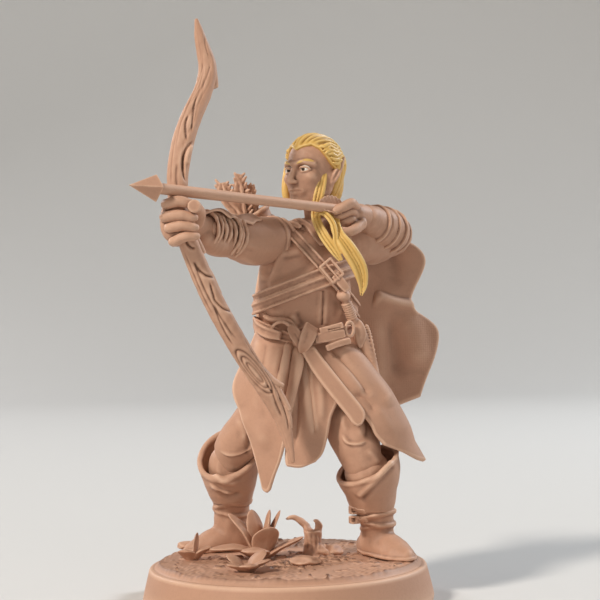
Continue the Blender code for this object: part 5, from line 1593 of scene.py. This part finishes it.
def make_locks():
    clay = Clay((1.6, -5.0, 28.2), (6.3, 0.4, 38.2), 0.055)
    front = [
        (3.75, -1.5, 37.0, 0.2), (3.55, -1.85, 36.1, 0.34), (3.25, -2.1, 34.9, 0.38),
        (2.95, -2.15, 33.5, 0.34), (2.95, -2.5, 32.5, 0.34), (3.5, -3.1, 31.2, 0.36),
        (4.35, -3.35, 29.9, 0.34), (4.95, -3.3, 29.0, 0.16),
    ]
    lock(clay, front, 3, 0.3, 0.3, 0.42)
    loop = [
        (2.9, -2.3, 32.6, 0.12), (3.2, -2.6, 33.1, 0.18), (3.75, -2.8, 32.95, 0.2),
        (4.3, -3.0, 32.2, 0.2), (4.5, -3.2, 31.3, 0.18), (4.55, -3.3, 30.5, 0.16),
        (4.9, -3.35, 29.6, 0.12),
    ]
    lock(clay, loop, 2, 0.14, 0.2, 0.7)
    piece("hair_lock_front_strands", clay.form(), "hair_lock_front", HAIR)
    clay = Clay((3.2, -4.6, 25.4), (8.2, 1.0, 35.6), 0.06)
    long_rows = [
        (4.5, -0.6, 34.6, 0.3), (4.5, -1.7, 32.8, 0.36), (4.8, -2.9, 31.3, 0.4), (5.6, -3.3, 30.0, 0.52),
        (6.5, -3.1, 28.4, 0.52), (6.8, -2.8, 27.0, 0.32), (6.65, -2.6, 26.0, 0.08),
    ]
    lock(clay, long_rows, 4, 0.46, 0.25, 0.33)
    piece("hair_lock_long_strands", clay.form(), "hair_lock_long", HAIR)


# ---------------------------------------------------------------- bow, arrow, quiver and dagger

BOW = [
    (-6.55, -8.2, 48.45, 0.18, 0.18), (-6.25, -8, 46.9, 0.5, 0.45), (-5.75, -7.9, 44.6, 0.75, 0.6),
    (-6.15, -8.5, 42.6, 0.76, 0.6), (-7.05, -9.5, 40.4, 0.84, 0.65), (-7.75, -10.3, 38.1, 0.88, 0.7),
    (-8.15, -10.8, 35.3, 0.84, 0.65), (-7.95, -11.1, 32.2, 0.72, 0.7), (-7.1, -10.7, 29.5, 0.8, 0.7),
    (-5.55, -9.8, 25.7, 0.84, 0.65), (-3.45, -8.7, 21.7, 0.84, 0.6), (-1.45, -7.6, 18.4, 0.78, 0.55),
    (-0.2, -7.1, 15.8, 0.62, 0.5), (0.5, -7.4, 12.7, 0.22, 0.2),
]
ARROW_NOCK = np.array((6.0, -0.75, 33.42))
ARROW_TIP = np.array((-11.65, -14.4, 34.55))


BOW_CUTS = [
    ([
        (-6.75, 38.5), (-7.1, 38.1), (-7.45, 37.6), (-7.65, 36.9), (-7.65, 36.1), (-7.45, 34.9),
    ], 0.1, -0.24),
    ([(-6.8, 38.1), (-7.1, 37.6), (-7.3, 37.0), (-7.3, 36.3)], 0.14, 0.14),
    ([(-7.2, 40.6), (-7.45, 39.8), (-7.4, 38.7), (-7.3, 38.3)], 0.08, -0.14),
    ([(-6.0, 47.7), (-5.8, 46.1), (-5.5, 44.9), (-6.0, 43.3), (-6.6, 41.9)], 0.07, -0.06),
    ([(-6.3, 46.6), (-6.1, 45.0), (-6.5, 43.4), (-7.2, 41.6), (-7.9, 39.6), (-8.3, 37.2)], 0.07, -0.05),
    ([(-6.5, 42.4), (-6.8, 41.2), (-6.9, 40.0), (-7.0, 38.9)], 0.07, -0.1),
    ([(-8.0, 39.6), (-8.4, 38.0), (-8.6, 36.2), (-8.6, 34.6)], 0.07, -0.05),
    ([(-8.1, 36.6), (-8.2, 35.4), (-8.1, 34.2)], 0.07, -0.07),
    ([(-7.6, 30.6), (-7.4, 30.1), (-7.05, 29.8), (-6.75, 29.85)], 0.09, -0.2),
    ([(-7.0, 28.8), (-6.6, 28.1), (-6.2, 27.75), (-5.9, 27.6), (-5.3, 27.5)], 0.085, -0.2),
    ([(-5.8, 27.3), (-5.5, 26.1), (-5.35, 25.6), (-4.7, 25.0), (-3.8, 24.7)], 0.08, -0.16),
    ([(-7.0, 28.9), (-6.3, 26.9), (-5.7, 25.6), (-5.0, 24.4), (-4.2, 23.1), (-3.5, 22.3)], 0.08, -0.09),
    ([(-5.5, 25.4), (-5.0, 23.9), (-4.5, 22.8), (-3.9, 21.9)], 0.08, -0.09),
    ([(-7.8, 29.8), (-7.0, 27.7), (-6.1, 25.5), (-5.4, 24.3)], 0.08, -0.08),
    ([(-1.9, 20.9), (-1.65, 20.4), (-1.4, 19.9)], 0.09, -0.22),
    ([(-1.6, 19.0), (-1.0, 18.2), (-0.7, 17.2), (-0.2, 16.0)], 0.08, -0.1),
    ([(-0.6, 18.3), (-0.2, 17.3), (0.15, 16.2), (0.3, 14.9)], 0.08, -0.12),
]


BOW_STRIPS = [
    (
        (-7.0, -8.9, 42.2), (-4.2, -7.0, 46.6),
        [
            (-5.85, -8.0, 46.2, 0.3), (-5.6, -7.95, 45.0, 0.48), (-5.42, -7.9, 44.0, 0.48),
            (-5.25, -7.85, 43.3, 0.36), (-5.2, -7.85, 42.8, 0.3),
        ],
        ((-5.0, 0, 43.05), (0.35, 0, -1)),
    ),
    (
        (-7.6, -9.9, 40.0), (-5.2, -7.6, 43.4),
        [
            (-5.6, -8.0, 43.0, 0.2), (-6.05, -8.3, 42.3, 0.24), (-6.35, -8.6, 41.6, 0.26),
            (-6.5, -8.9, 40.9, 0.24),
        ],
        ((-6.6, 0, 40.75), (0.4, 0, -1)),
    ),
    (
        (-8.0, -11.4, 36.0), (-6.2, -9.2, 39.9),
        [
            (-6.9, -9.8, 39.6, 0.12), (-7.2, -10.25, 38.7, 0.26), (-7.35, -10.5, 37.9, 0.3),
            (-7.5, -10.75, 37.0, 0.22), (-7.55, -10.9, 36.3, 0.1),
        ],
    ),
    (
        (-7.8, -11.5, 28.8), (-5.6, -9.6, 31.6),
        [
            (-7.15, -10.7, 31.1, 0.2), (-6.75, -10.6, 30.5, 0.27), (-6.45, -10.5, 29.9, 0.27),
            (-6.2, -10.35, 29.3, 0.25),
        ],
        ((-6.3, 0, 29.35), (0.4, 0, -1)),
    ),
    (
        (-6.4, -10.7, 26.0), (-4.2, -8.9, 28.7),
        [
            (-6.05, -10.15, 28.5, 0.15), (-5.7, -10.0, 27.7, 0.25), (-5.35, -9.85, 27.0, 0.2),
            (-4.95, -9.75, 26.3, 0.1),
        ],
    ),
    (
        (-2.6, -8.6, 17.6), (0.7, -6.6, 21.0),
        [
            (-2.0, -7.9, 20.6, 0.12), (-1.5, -7.7, 19.7, 0.3), (-0.85, -7.6, 19.05, 0.3),
            (-0.3, -7.5, 18.8, 0.2), (-0.1, -7.45, 18.78, 0.1),
        ],
        ((0, 0, 18.4), (0.5, 0, -1)),
    ),
    (
        (-1.1, -8.3, 15.2), (1.0, -6.5, 19.2),
        [
            (-0.8, -7.5, 18.8, 0.3), (-0.35, -7.4, 18.0, 0.28), (0.05, -7.35, 17.3, 0.24),
            (0.35, -7.3, 16.7, 0.18),
        ],
        ((0.4, 0, 16.7), (0.6, 0, -1)),
    ),
    (
        (-0.6, -8.0, 14.0), (1.2, -6.5, 17.4),
        [(0.0, -7.3, 17.0, 0.22), (0.3, -7.25, 16.1, 0.24), (0.45, -7.2, 15.3, 0.14)],
    ),
]


def bow_limb():
    """The stave: a squarish section along its curve, with fine long grooves all round."""
    rows = curve(round_ends(BOW), 52)
    path = rows[:, :3]
    _, side, out = frames(path, (0, -1, 0))
    ring = circle(104, 0.78)
    angle = np.arctan2(ring[:, 1], ring[:, 0])
    length = np.concatenate([[0], np.cumsum(np.linalg.norm(np.diff(path, axis=0), axis=1))])
    rng = np.random.default_rng(113)
    grooves = []
    for k in range(30):
        front = k < 7
        base = math.pi / 2 + rng.uniform(-0.7, 0.7) if front else rng.uniform(-3.9, 0.6)
        start, span = rng.uniform(-3, length[-1]), rng.uniform(5, 12)
        grooves.append((
            base, start, span, rng.uniform(0.05, 0.22), rng.uniform(3, 6), rng.uniform(0, 6),
            0.035 if front else 0.09,
        ))
    sections = np.zeros((len(rows), len(ring), 3))
    for i, row in enumerate(rows):
        offset = np.zeros(len(ring))
        for base, start, span, sway, period, phase, depth in grooves:
            inside = (length[i] - start) / span
            if not 0 < inside < 1:
                continue
            middle = base + sway * math.sin(2 * math.pi * length[i] / period + phase)
            gap = np.abs((angle - middle + math.pi) % (2 * math.pi) - math.pi) * row[3]
            offset -= depth * math.sin(inside * math.pi) ** 0.5 * np.exp(-((gap / 0.06) ** 2))
        scale = 1 + offset / max(row[3], 0.1)
        around = ring * (row[3], row[4]) * scale[:, None]
        sections[i] = path[i] + around[:, :1] * side[i] + around[:, 1:] * out[i]
    return turned_out(rings(sections))


def bow_knot(form):
    """Three long rings, one in another, where a branch once grew."""
    way = unit(np.array((2.8, -3.6)))
    cross = np.array((way[1], -way[0]))
    t = np.linspace(0, 2 * math.pi, 49)
    for a, b in ((2.2, 0.62), (1.6, 0.4), (1.0, 0.2)):
        middle = np.array((-2.42, 19.92)) + way * (2.2 - a) * 0.1
        ring = middle + np.cos(t)[:, None] * a * way + np.sin(t)[:, None] * b * cross
        form.stroke(ring, 0.1, -0.1, taper=0)


def splinter(low, high, rows, cut=None):
    """A raised strip of bark, with its end sawn off square if a plane is given."""
    clay = Clay(low, high, 0.055)
    clay.tube(rows, 0)
    if cut:
        clay.keep(half_space(*cut), 0.03)
    return clay.form()


def make_bow():
    form = bow_limb()
    bow_knot(form)
    for path, width, height in BOW_CUTS:
        form.stroke(path, width, height, taper=0.2)
    form.rough(0.012, 0.9, 127)
    strips = [splinter(*strip) for strip in BOW_STRIPS]
    piece("bow_carved", together(form, *strips), "bow")


def arrow_frame():
    along = unit(ARROW_TIP - ARROW_NOCK)
    side = unit(np.cross(along, (0, 0, 1)))
    return along, side, np.cross(side, along)


VANE_THICK = 0.07
VANE_FOOT = 0.25  # how far from the middle of the shaft a feather starts


def vane(at, along, out, length, height, notches):
    """A feather with a torn edge, standing out from the shaft."""
    grid = []
    for t in np.linspace(0, 1, 56):
        tall = height * math.sin(math.pi * min(1, 0.12 + t * 0.9)) ** 0.55
        tooth = (t * notches) % 1.0
        tall *= 1 - 0.42 * ease((tooth - 0.72) / 0.2) * (0 < t < 0.97)
        foot = at + along * (length * (0.5 - t))
        lean = along * height * 0.45
        grid.append([foot - lean * h + out * (VANE_FOOT + h * tall) for h in np.linspace(0, 1, 9)])
    return cloth(np.array(grid), VANE_THICK, swell=0.4)


def make_arrow():
    along, side, up = arrow_frame()
    head_length, head_half, radius = 2.8, 1.22, 0.42
    neck = ARROW_TIP - along * head_length
    shaft = [
        (*ARROW_NOCK, radius * 0.9, radius * 0.9),
        (*(ARROW_NOCK * 0.5 + neck * 0.5), radius, radius),
        (*(neck + along * 0.6), radius, radius),
    ]
    form = sweep(round_ends(shaft, 0.3), circle(40), up, 30)
    clay = Clay((-12.1, -15.2, 32.4), (-7.4, -10.6, 36.2), 0.06)
    tip = ARROW_TIP + along * 0.02

    def pyramid(x, y, z):
        p = (x - tip[0], y - tip[1], z - tip[2])
        w = -sum(p[i] * along[i] for i in range(3))
        u = sum(p[i] * side[i] for i in range(3))
        v = sum(p[i] * up[i] for i in range(3))
        slope = head_half / head_length
        flank = (np.abs(u) + np.abs(v) - w * slope) / math.sqrt(2 + slope**2)
        back = w - head_length + 0.25 * (np.abs(u) + np.abs(v)) / head_half
        return smooth_max(flank, back, 0.05)

    low, high = ARROW_TIP - 2.2, ARROW_TIP + 2.2
    clay.put((pyramid, np.minimum(low, neck - 1.5), np.maximum(high, neck + 1.5)), 0)
    vanes = []
    for angle, height in ((90, 0.85), (215, 0.5), (325, 0.5)):
        a = math.radians(angle)
        out = math.cos(a) * side + math.sin(a) * up
        vanes.append(vane(ARROW_NOCK + along * 2.0, -along, out, 2.5, height, 6))
    piece("arrow_drawn", together(form, clay.form(0), *vanes), "arrow")


QUIVER_FEATHERS = [
    [(-3.3, 5.0, 33.6, 0.6), (-3.55, 4.9, 35.0, 0.85), (-3.65, 4.8, 36.2, 0.6), (-3.78, 4.8, 37.3, 0.15)],
    [(-3.6, 4.9, 33.6, 0.5), (-4.7, 4.8, 34.9, 0.6), (-5.1, 4.7, 35.9, 0.6), (-5.2, 4.7, 36.5, 0.42)],
    [(-2.3, 5.6, 33.4, 0.4), (-2.6, 5.6, 34.8, 0.5), (-2.85, 5.5, 35.9, 0.3), (-3.0, 5.5, 36.3, 0.12)],
]


def feather_mass(clay, rows, seed):
    """A clump of torn feathers: two crossed blades with short barbs along both their edges."""
    rng = np.random.default_rng(seed)
    for facing in ((0.3, -1, 0), (1, 0.45, 0)):
        narrow = 1.0 if facing[0] < 1 else 0.6
        clay.put(ribbon([(x, y, z, w * narrow) for x, y, z, w in rows], 0.17, facing, rounding=0.1), 0.05)
    for x, y, z, wide in curve(rows, 5)[::2]:
        for sign in (-1, 1):
            root = np.array((x + sign * wide * 0.6, y, z))
            end = root + (sign * rng.uniform(0.15, 0.42), rng.uniform(-0.3, 0.1), rng.uniform(0.15, 0.5))
            clay.put(rod(root, end, 0.2, 0.11), 0.04)


def make_quiver():
    clay = Clay((-5.0, 2.6, 23.2), (5.4, 8.6, 36.2), 0.11)
    rows = [
        (3.1, 6.1, 24.9, 0.85), (1.9, 5.8, 26.8, 1.15), (-0.9, 5.3, 31.2, 1.3), (-2.5, 4.9, 33.9, 1.4),
    ]
    clay.tube(rows, 0)
    plain = clay.copy()
    along = unit((-1.6, -0.4, 2.7))
    mouth = np.array((-2.5, 4.9, 33.9))
    for t, width in ((-0.15, 0.35), (-1.2, 0.25), (-5.4, 0.3), (-6.4, 0.3)):
        merge(clay, band(plain, mouth + along * t, along, width, 0.16, 0.06, inner=0), 0.03)
    clay.keep(half_space(mouth, along), 0.08)
    clay.put(rod(mouth + along * 1.0, mouth - along * 0.9, 1.05, 1.0), 0.05, cut=True)
    piece("quiver_case", clay.form().rough(0.02, 1.2, 131), "quiver")
    clay = Clay((-6.4, 3.2, 32.2), (-1.2, 6.9, 38.2), 0.07)
    for k, rows in enumerate(QUIVER_FEATHERS):
        feather_mass(clay, rows, 61 + k)
    piece("quiver_arrows_fletched", clay.form().rough(0.03, 0.5, 5), "quiver_arrows")


def make_dagger():
    clay = Clay((4.3, -4.4, 21.0), (8.0, -0.6, 27.2), 0.06)
    pommel = np.array((5.15, -2.6, 26.05))
    grip_end = np.array((5.95, -1.95, 23.9))
    clay.put(ellipsoid(pommel, (0.6, 0.6, 0.52)), 0)
    clay.put(ellipsoid(pommel - (0.06, -0.02, -0.3), (0.4, 0.4, 0.2)), 0.08)
    way = unit(grip_end - pommel)
    clay.put(rod(pommel, grip_end, 0.34, 0.42), 0.06)
    a, b = unit(np.cross(way, (0, 1, 0))), unit(np.cross(way, np.cross(way, (0, 1, 0))))
    for t in np.linspace(0.75, 2.1, 8):
        centre = pommel + way * t
        turn = np.linspace(0, 2 * math.pi, 13)
        ring = [centre + 0.4 * (math.cos(q) * a + math.sin(q) * b) for q in turn]
        clay.put(tube([(*p, 0.085) for p in ring], 2), 0.02)
    guard = [
        (6.0, -1.9, 23.95, 0.3), (6.3, -1.95, 23.5, 0.5), (6.5, -1.95, 22.8, 0.56),
        (6.5, -1.95, 22.2, 0.42), (6.5, -1.9, 21.75, 0.2),
    ]
    clay.put(ribbon(guard, 0.3, (0.3, -1, 0.1), rounding=0.2), 0.08)
    form = clay.form()
    form.stroke([(6.3, 23.7), (6.55, 22.9), (6.5, 22.0)], 0.25, 0.1)
    piece("dagger_hilt", form, "dagger")
    sheath = Clay((5.2, -5.1, 16.3), (9.2, 0.4, 23.9), 0.07)
    rows = [
        (6.65, -1.5, 22.5, 0.62), (7.15, -1.5, 21.2, 0.52), (7.6, -1.6, 20.0, 0.42),
        (7.9, -2.2, 18.6, 0.3), (8.1, -3.0, 17.4, 0.15),
    ]
    sheath.tube(rows, 0)
    edge = [
        (7.1, -1.5, 23.5, 0.12), (7.3, -1.55, 22.9, 0.13), (7.5, -1.65, 22.1, 0.13),
        (7.7, -1.7, 20.9, 0.12), (7.85, -1.75, 19.9, 0.1),
    ]
    sheath.tube(edge, 0.05)
    line = curve(edge, 6)[:, :3]
    for k in range(0, len(line) - 2, 2):
        start, end = line[k] + (-0.3, -0.25, -0.12), line[k + 2] + (0.12, 0.05, 0.1)
        sheath.put(rod(start, end, 0.07, 0.08), 0.02)
    piece("dagger_sheath_laced", sheath.form(), "dagger_sheath")


# ---------------------------------------------------------------- base and plants


def make_base():
    profile = [
        (0.5, 0), (12.2, 0), (12.38, 0.06), (12.47, 0.2), (12.5, 0.45), (12.42, 0.9), (12.2, 1.8),
        (11.98, 2.7),
        (11.93, 2.92), (11.85, 3.04), (11.72, 3.1), (11.4, 3.1), (10.9, 3.1), (0.5, 3.1),
    ]
    piece("base_round", lathe(profile, 320), "base_disc")


GROUND_RADIUS = 11.55
GROUND_RIM_Z = 3.12  # the height of the earth where it meets the base


def make_ground():
    """Earth with small square-edged stones pressed into it."""
    angles, radii = 420, 130
    r = np.linspace(0.05, GROUND_RADIUS, radii) ** 0.82 * GROUND_RADIUS**0.18
    a = np.linspace(0, 2 * math.pi, angles, endpoint=False)
    x, y = np.outer(r, np.cos(a)), np.outer(r, np.sin(a))
    flat = np.stack([x.ravel(), y.ravel(), np.zeros(x.size)], 1)
    height = 0.09 * waves(flat, 5.0, 137) + 0.05 * waves(flat, 1.6, 139) + 0.03 * waves(flat, 0.6, 149)
    rng = np.random.default_rng(151)
    for _ in range(190):
        spread = rng.uniform(0, 1) ** 0.5 * 11.0
        turn = rng.uniform(0, 2 * math.pi)
        centre = np.array((spread * math.cos(turn), spread * math.sin(turn)))
        if rng.uniform() < 0.5:
            centre = rng.normal((3.0, -1.5), (2.8, 2.4))
        size, tall = rng.uniform(0.15, 0.5), rng.uniform(0.06, 0.26)
        turn = rng.uniform(0, math.pi)
        off = flat[:, :2] - centre
        near = np.abs(off).max(1) < 1.6
        u = off[near, 0] * math.cos(turn) + off[near, 1] * math.sin(turn)
        v = off[near, 1] * math.cos(turn) - off[near, 0] * math.sin(turn)
        d = np.maximum(np.abs(u), np.abs(v) * rng.uniform(1, 2)) * 0.7 + 0.3 * np.hypot(u, v)
        height[near] = np.maximum(
            height[near], tall * ease((size - d) / (0.3 * size)) + 0.3 * height[near],
        )
    z = GROUND_Z - 0.12 + np.clip(height, -0.2, 0.3)
    edge = ease((11.5 - np.hypot(flat[:, 0], flat[:, 1])) / 0.5)
    flat[:, 2] = GROUND_RIM_Z + (z - GROUND_RIM_Z) * edge
    rim = np.stack([r[-1] * np.cos(a), r[-1] * np.sin(a), np.full(angles, 3.1)], 1)
    middle, end = np.arange(angles), (np.arange(angles) + radii * angles)[::-1]
    faces = [grid_faces(radii + 1, angles, loop=True), middle, end]
    piece("ground_earth", Form(np.vstack([flat, rim]), faces), "ground")


def leaf(base, tip, half_width, thick, lift, seed):
    """A thick leaf with a blunt point and a ridge down its middle."""
    base, tip = np.array(base, float), np.array(tip, float)
    length = np.linalg.norm(tip - base)
    outward = unit((tip - base) * (1, 1, 0))
    middle = (base + tip) / 2 + (0, 0, 0.16 * length * lift) - outward * 0.1 * length * lift
    path = curve([base, middle, tip], 14)
    t = np.linspace(0, 1, len(path))
    along = np.gradient(path, axis=0)
    along /= np.linalg.norm(along, axis=1, keepdims=True)
    side = unit(np.cross((0, 0, 1), outward))
    out = np.cross(along, side)
    wide = half_width * 1.75 * (
        0.4 + 0.6 * np.sin(math.pi * t**0.85 * 0.8)
    ) * np.sqrt(np.clip(1 - t**5, 0.0, 1))
    deep = thick * half_width * np.sqrt(np.clip(1 - t**4, 0.0, 1))
    outline = []
    for a in np.linspace(0, 2 * math.pi, 28, endpoint=False):
        c, s = math.cos(a), math.sin(a)
        size = 1 / (abs(c) ** 1.35 + abs(s) ** 1.35) ** (1 / 1.35)
        outline.append((c * size, s * size))
    outline = np.array(outline)
    sections = []
    for k in range(len(path)):
        ring = outline * (max(wide[k], 0.03), max(deep[k], 0.03))
        sections.append(path[k] + ring[:, :1] * side + ring[:, 1:] * out[k])
    return turned_out(rings(sections)).rough(0.015, 0.9, seed)


def rosette(name, node_name, centre, leaves):
    """Leaves from one root, each (tip, half width, thickness, lift)."""
    parts = []
    for k, (tip, width, thick, lift) in enumerate(leaves):
        way = unit(np.array((tip[0] - centre[0], tip[1] - centre[1], 0)))
        foot = np.array((centre[0], centre[1], GROUND_Z - 0.1)) + way * 0.3
        parts.append(leaf(foot, tip, width, thick, lift, 160 + k))
    piece(name, together(*parts), node_name)


def make_plants():
    rosette("leaf_rosette_main_plant", "leaf_rosette_main", (-2.3, 0.2), [
        ((-5.1, 0.6, 7.4), 0.75, 0.5, 0.5), ((-3.1, 0.9, 7.7), 0.62, 0.5, 0.2),
        ((-1.5, 0.3, 7.7), 0.6, 0.5, 0.2),
        ((-0.6, 0.6, 7.6), 0.42, 0.5, 0.3), ((-1.5, -1.9, 6.5), 0.72, 0.5, 0.6),
        ((1.4, -0.4, 5.4), 0.6, 0.45, 0.2),
        ((-6.7, -1.2, 4.6), 0.7, 0.5, 0.7), ((-3.2, -2.6, 4.5), 0.75, 0.5, 0.7),
    ])
    rosette("leaf_rosette_left_plant", "leaf_rosette_left", (-8.3, 0.3), [
        ((-7.8, 0.2, 5.9), 0.45, 0.5, 0.2), ((-6.5, -0.4, 4.7), 0.55, 0.5, 0.6),
        ((-8.9, -1, 4.5), 0.55, 0.5, 0.7),
    ])
    rosette("leaf_cluster_front_plant", "leaf_cluster_front", (-3.4, -6.6), [
        ((-5, -5.9, 4.9), 0.5, 0.5, 0.5), ((-4.9, -7.7, 4.3), 0.45, 0.5, 0.5),
        ((-3, -8.6, 4.3), 0.5, 0.5, 0.6),
        ((-1.4, -7.3, 4.6), 0.45, 0.5, 0.4), ((-1.9, -5.4, 5.1), 0.5, 0.5, 0.4),
    ])


def make_stump():
    clay = Clay((-0.9, -0.6, 3.3), (4.2, 3.0, 7.6), 0.07)
    clay.put(levels([
        (2.2, 1.2, 3.4, 1.0, 0.95, 0), (2.2, 1.2, 4.4, 0.82, 0.8, 0), (2.2, 1.2, 5.7, 0.78, 0.72, 0),
    ], cap=0.1), 0)
    clay.tube([
        (2.2, 1.3, 5.2, 0.42), (1.5, 1.5, 6.2, 0.32), (0.6, 1.4, 6.85, 0.24), (-0.05, 1.2, 6.75, 0.1),
    ], 0.15)
    clay.tube([
        (2.6, 1.2, 5.4, 0.35), (2.75, 1.1, 6.1, 0.3), (2.6, 1.0, 6.5, 0.2), (2.35, 1.0, 6.6, 0.08),
    ], 0.12)
    clay.tube([(2.3, 1, 4.4, 0.45), (3.0, 0.5, 4.05, 0.35), (3.5, 0.3, 3.8, 0.2)], 0.2)
    form = clay.form()
    for x in (1.65, 2.05, 2.45, 2.75):
        form.stroke([(x, 3.9), (x + 0.04, 4.8), (x, 5.7)], 0.09, -0.06)
    piece("root_stump_curled", form.rough(0.04, 0.8, 173), "root_stump")


def make_stones():
    for name, node_name, centre, half, seed in (
        ("stone_right_chip", "stone_right", (3.95, 0.9, 4.0), (0.95, 0.7, 0.5), 179),
        ("stone_front_chip", "stone_front", (1.5, -3.9, 3.95), (1.35, 1.0, 0.42), 181),
        ("slab_left_chip", "slab_left", (-9, 6.4, 3.9), (1.2, 0.9, 0.35), 191),
    ):
        rng = np.random.default_rng(seed)
        centre, half = np.array(centre), np.array(half)
        clay = Clay(centre - half - 0.5, centre + half + 0.5, 0.06)
        clay.put(ellipsoid(centre, half * 1.05), 0)
        for _ in range(9):
            way = unit(rng.normal(size=3) * (1, 1, 0.7))
            way[2] = abs(way[2])
            depth = np.linalg.norm(half * way) * rng.uniform(0.7, 0.88)
            clay.keep(half_space(centre + way * depth, way), 0.08)
        piece(name, clay.form().rough(0.03, 0.7, seed), node_name)


# ---------------------------------------------------------------- stage, light and camera


def make_stage():
    """A pale floor that curves up into a wall all round, out of sight of its own edge."""
    radius, bend, tall = 620.0, 260.0, 620.0
    profile = [(1.0, 0.0)] + [
        (radius - bend + bend * math.sin(a), bend - bend * math.cos(a))
        for a in np.linspace(0, math.pi / 2, 24)
    ]
    profile.append((radius, tall))
    count = 96
    angle = np.linspace(0, 2 * math.pi, count, endpoint=False)
    points = [(r * math.cos(a) * MM, r * math.sin(a) * MM, z * MM) for r, z in profile for a in angle]
    mesh = bpy.data.meshes.new("floor")
    faces = grid_faces(len(profile), count, loop=True)[:, ::-1].tolist() + [list(range(count))]
    mesh.from_pydata(points, [], faces)
    mesh.shade_smooth()
    floor = bpy.data.objects.new("floor", mesh)
    bpy.context.scene.collection.objects.link(floor)
    pale = bpy.data.materials.new("floor_pale")
    pale.use_nodes = True
    shader = pale.node_tree.nodes["Principled BSDF"]
    shader.inputs["Base Color"].default_value = rgb(206, 204, 201)
    shader.inputs["Roughness"].default_value = 0.9
    mesh.materials.append(pale)


def look_along(made, at, way, side, up):
    """Puts a light or camera in the scene at a point in mm, looking that way."""
    turn = Matrix((side, up, -way)).transposed().to_4x4()
    turn.translation = np.array(at, float) * MM
    made.matrix_world = turn
    bpy.context.scene.collection.objects.link(made)


LIGHT_AIM = (1.0, 0, 24)


def lamp(name, at, size, power, colour):
    data = bpy.data.lights.new(name, "AREA")
    data.shape = "DISK"
    data.size = size * MM
    data.energy = power
    data.color = colour
    way = unit(np.array(LIGHT_AIM, float) - np.array(at, float))
    side = unit(np.cross(way, (0, 0, 1)))
    look_along(bpy.data.objects.new(name, data), at, way, side, np.cross(side, way))


def make_light():
    world = bpy.data.worlds.new("studio")
    world.use_nodes = True
    sky = world.node_tree.nodes["Background"]
    sky.inputs["Color"].default_value = (0.8, 0.84, 0.92, 1)
    sky.inputs["Strength"].default_value = 0.06
    bpy.context.scene.world = world
    bpy.context.scene.view_settings.view_transform = "Standard"
    lamp("key", (-330, -300, 400), 90, 2.9, (1.0, 0.94, 0.86))
    lamp("fill", (250, -420, 120), 260, 0.14, (0.9, 0.94, 1.0))
    lamp("rim", (360, 190, 300), 120, 1.7, (0.86, 0.93, 1.0))
    lamp("back", (-300, 340, 240), 150, 0.6, (0.95, 0.96, 1.0))


CAMERA_AT = (0, -122.746, 23.095)
CAMERA_ANGLES = (0.6924, 1.2644, 1.15)  # yaw, pitch and roll in degrees


def make_camera():
    yaw, pitch, roll = (math.radians(v) for v in CAMERA_ANGLES)
    way = np.array((math.sin(yaw) * math.cos(pitch), math.cos(yaw) * math.cos(pitch), math.sin(pitch)))
    right = unit(np.cross(way, (0, 0, 1)))
    up = np.cross(right, way)
    side = right * math.cos(roll) - up * math.sin(roll)
    over = right * math.sin(roll) + up * math.cos(roll)
    data = bpy.data.cameras.new("camera")
    data.lens = 85
    data.sensor_width = 36
    data.clip_start = 0.005
    data.clip_end = 5
    camera = bpy.data.objects.new("camera", data)
    look_along(camera, CAMERA_AT, way, side, over)
    bpy.context.scene.camera = camera


def main():
    for make in (
        make_torso, make_hips, make_wraps, make_baldric, make_belt, make_knot, make_collar,
        make_right_sleeve, make_ruffle, make_right_hand, make_left_arm, make_left_hand,
        make_legs, make_boots, make_cuffs, make_skirt, make_cloak, make_head, make_hair,
        make_locks, make_bow, make_arrow, make_quiver, make_dagger, make_base, make_ground,
        make_plants, make_stump, make_stones, make_stage, make_light, make_camera,
    ):
        make()


main()
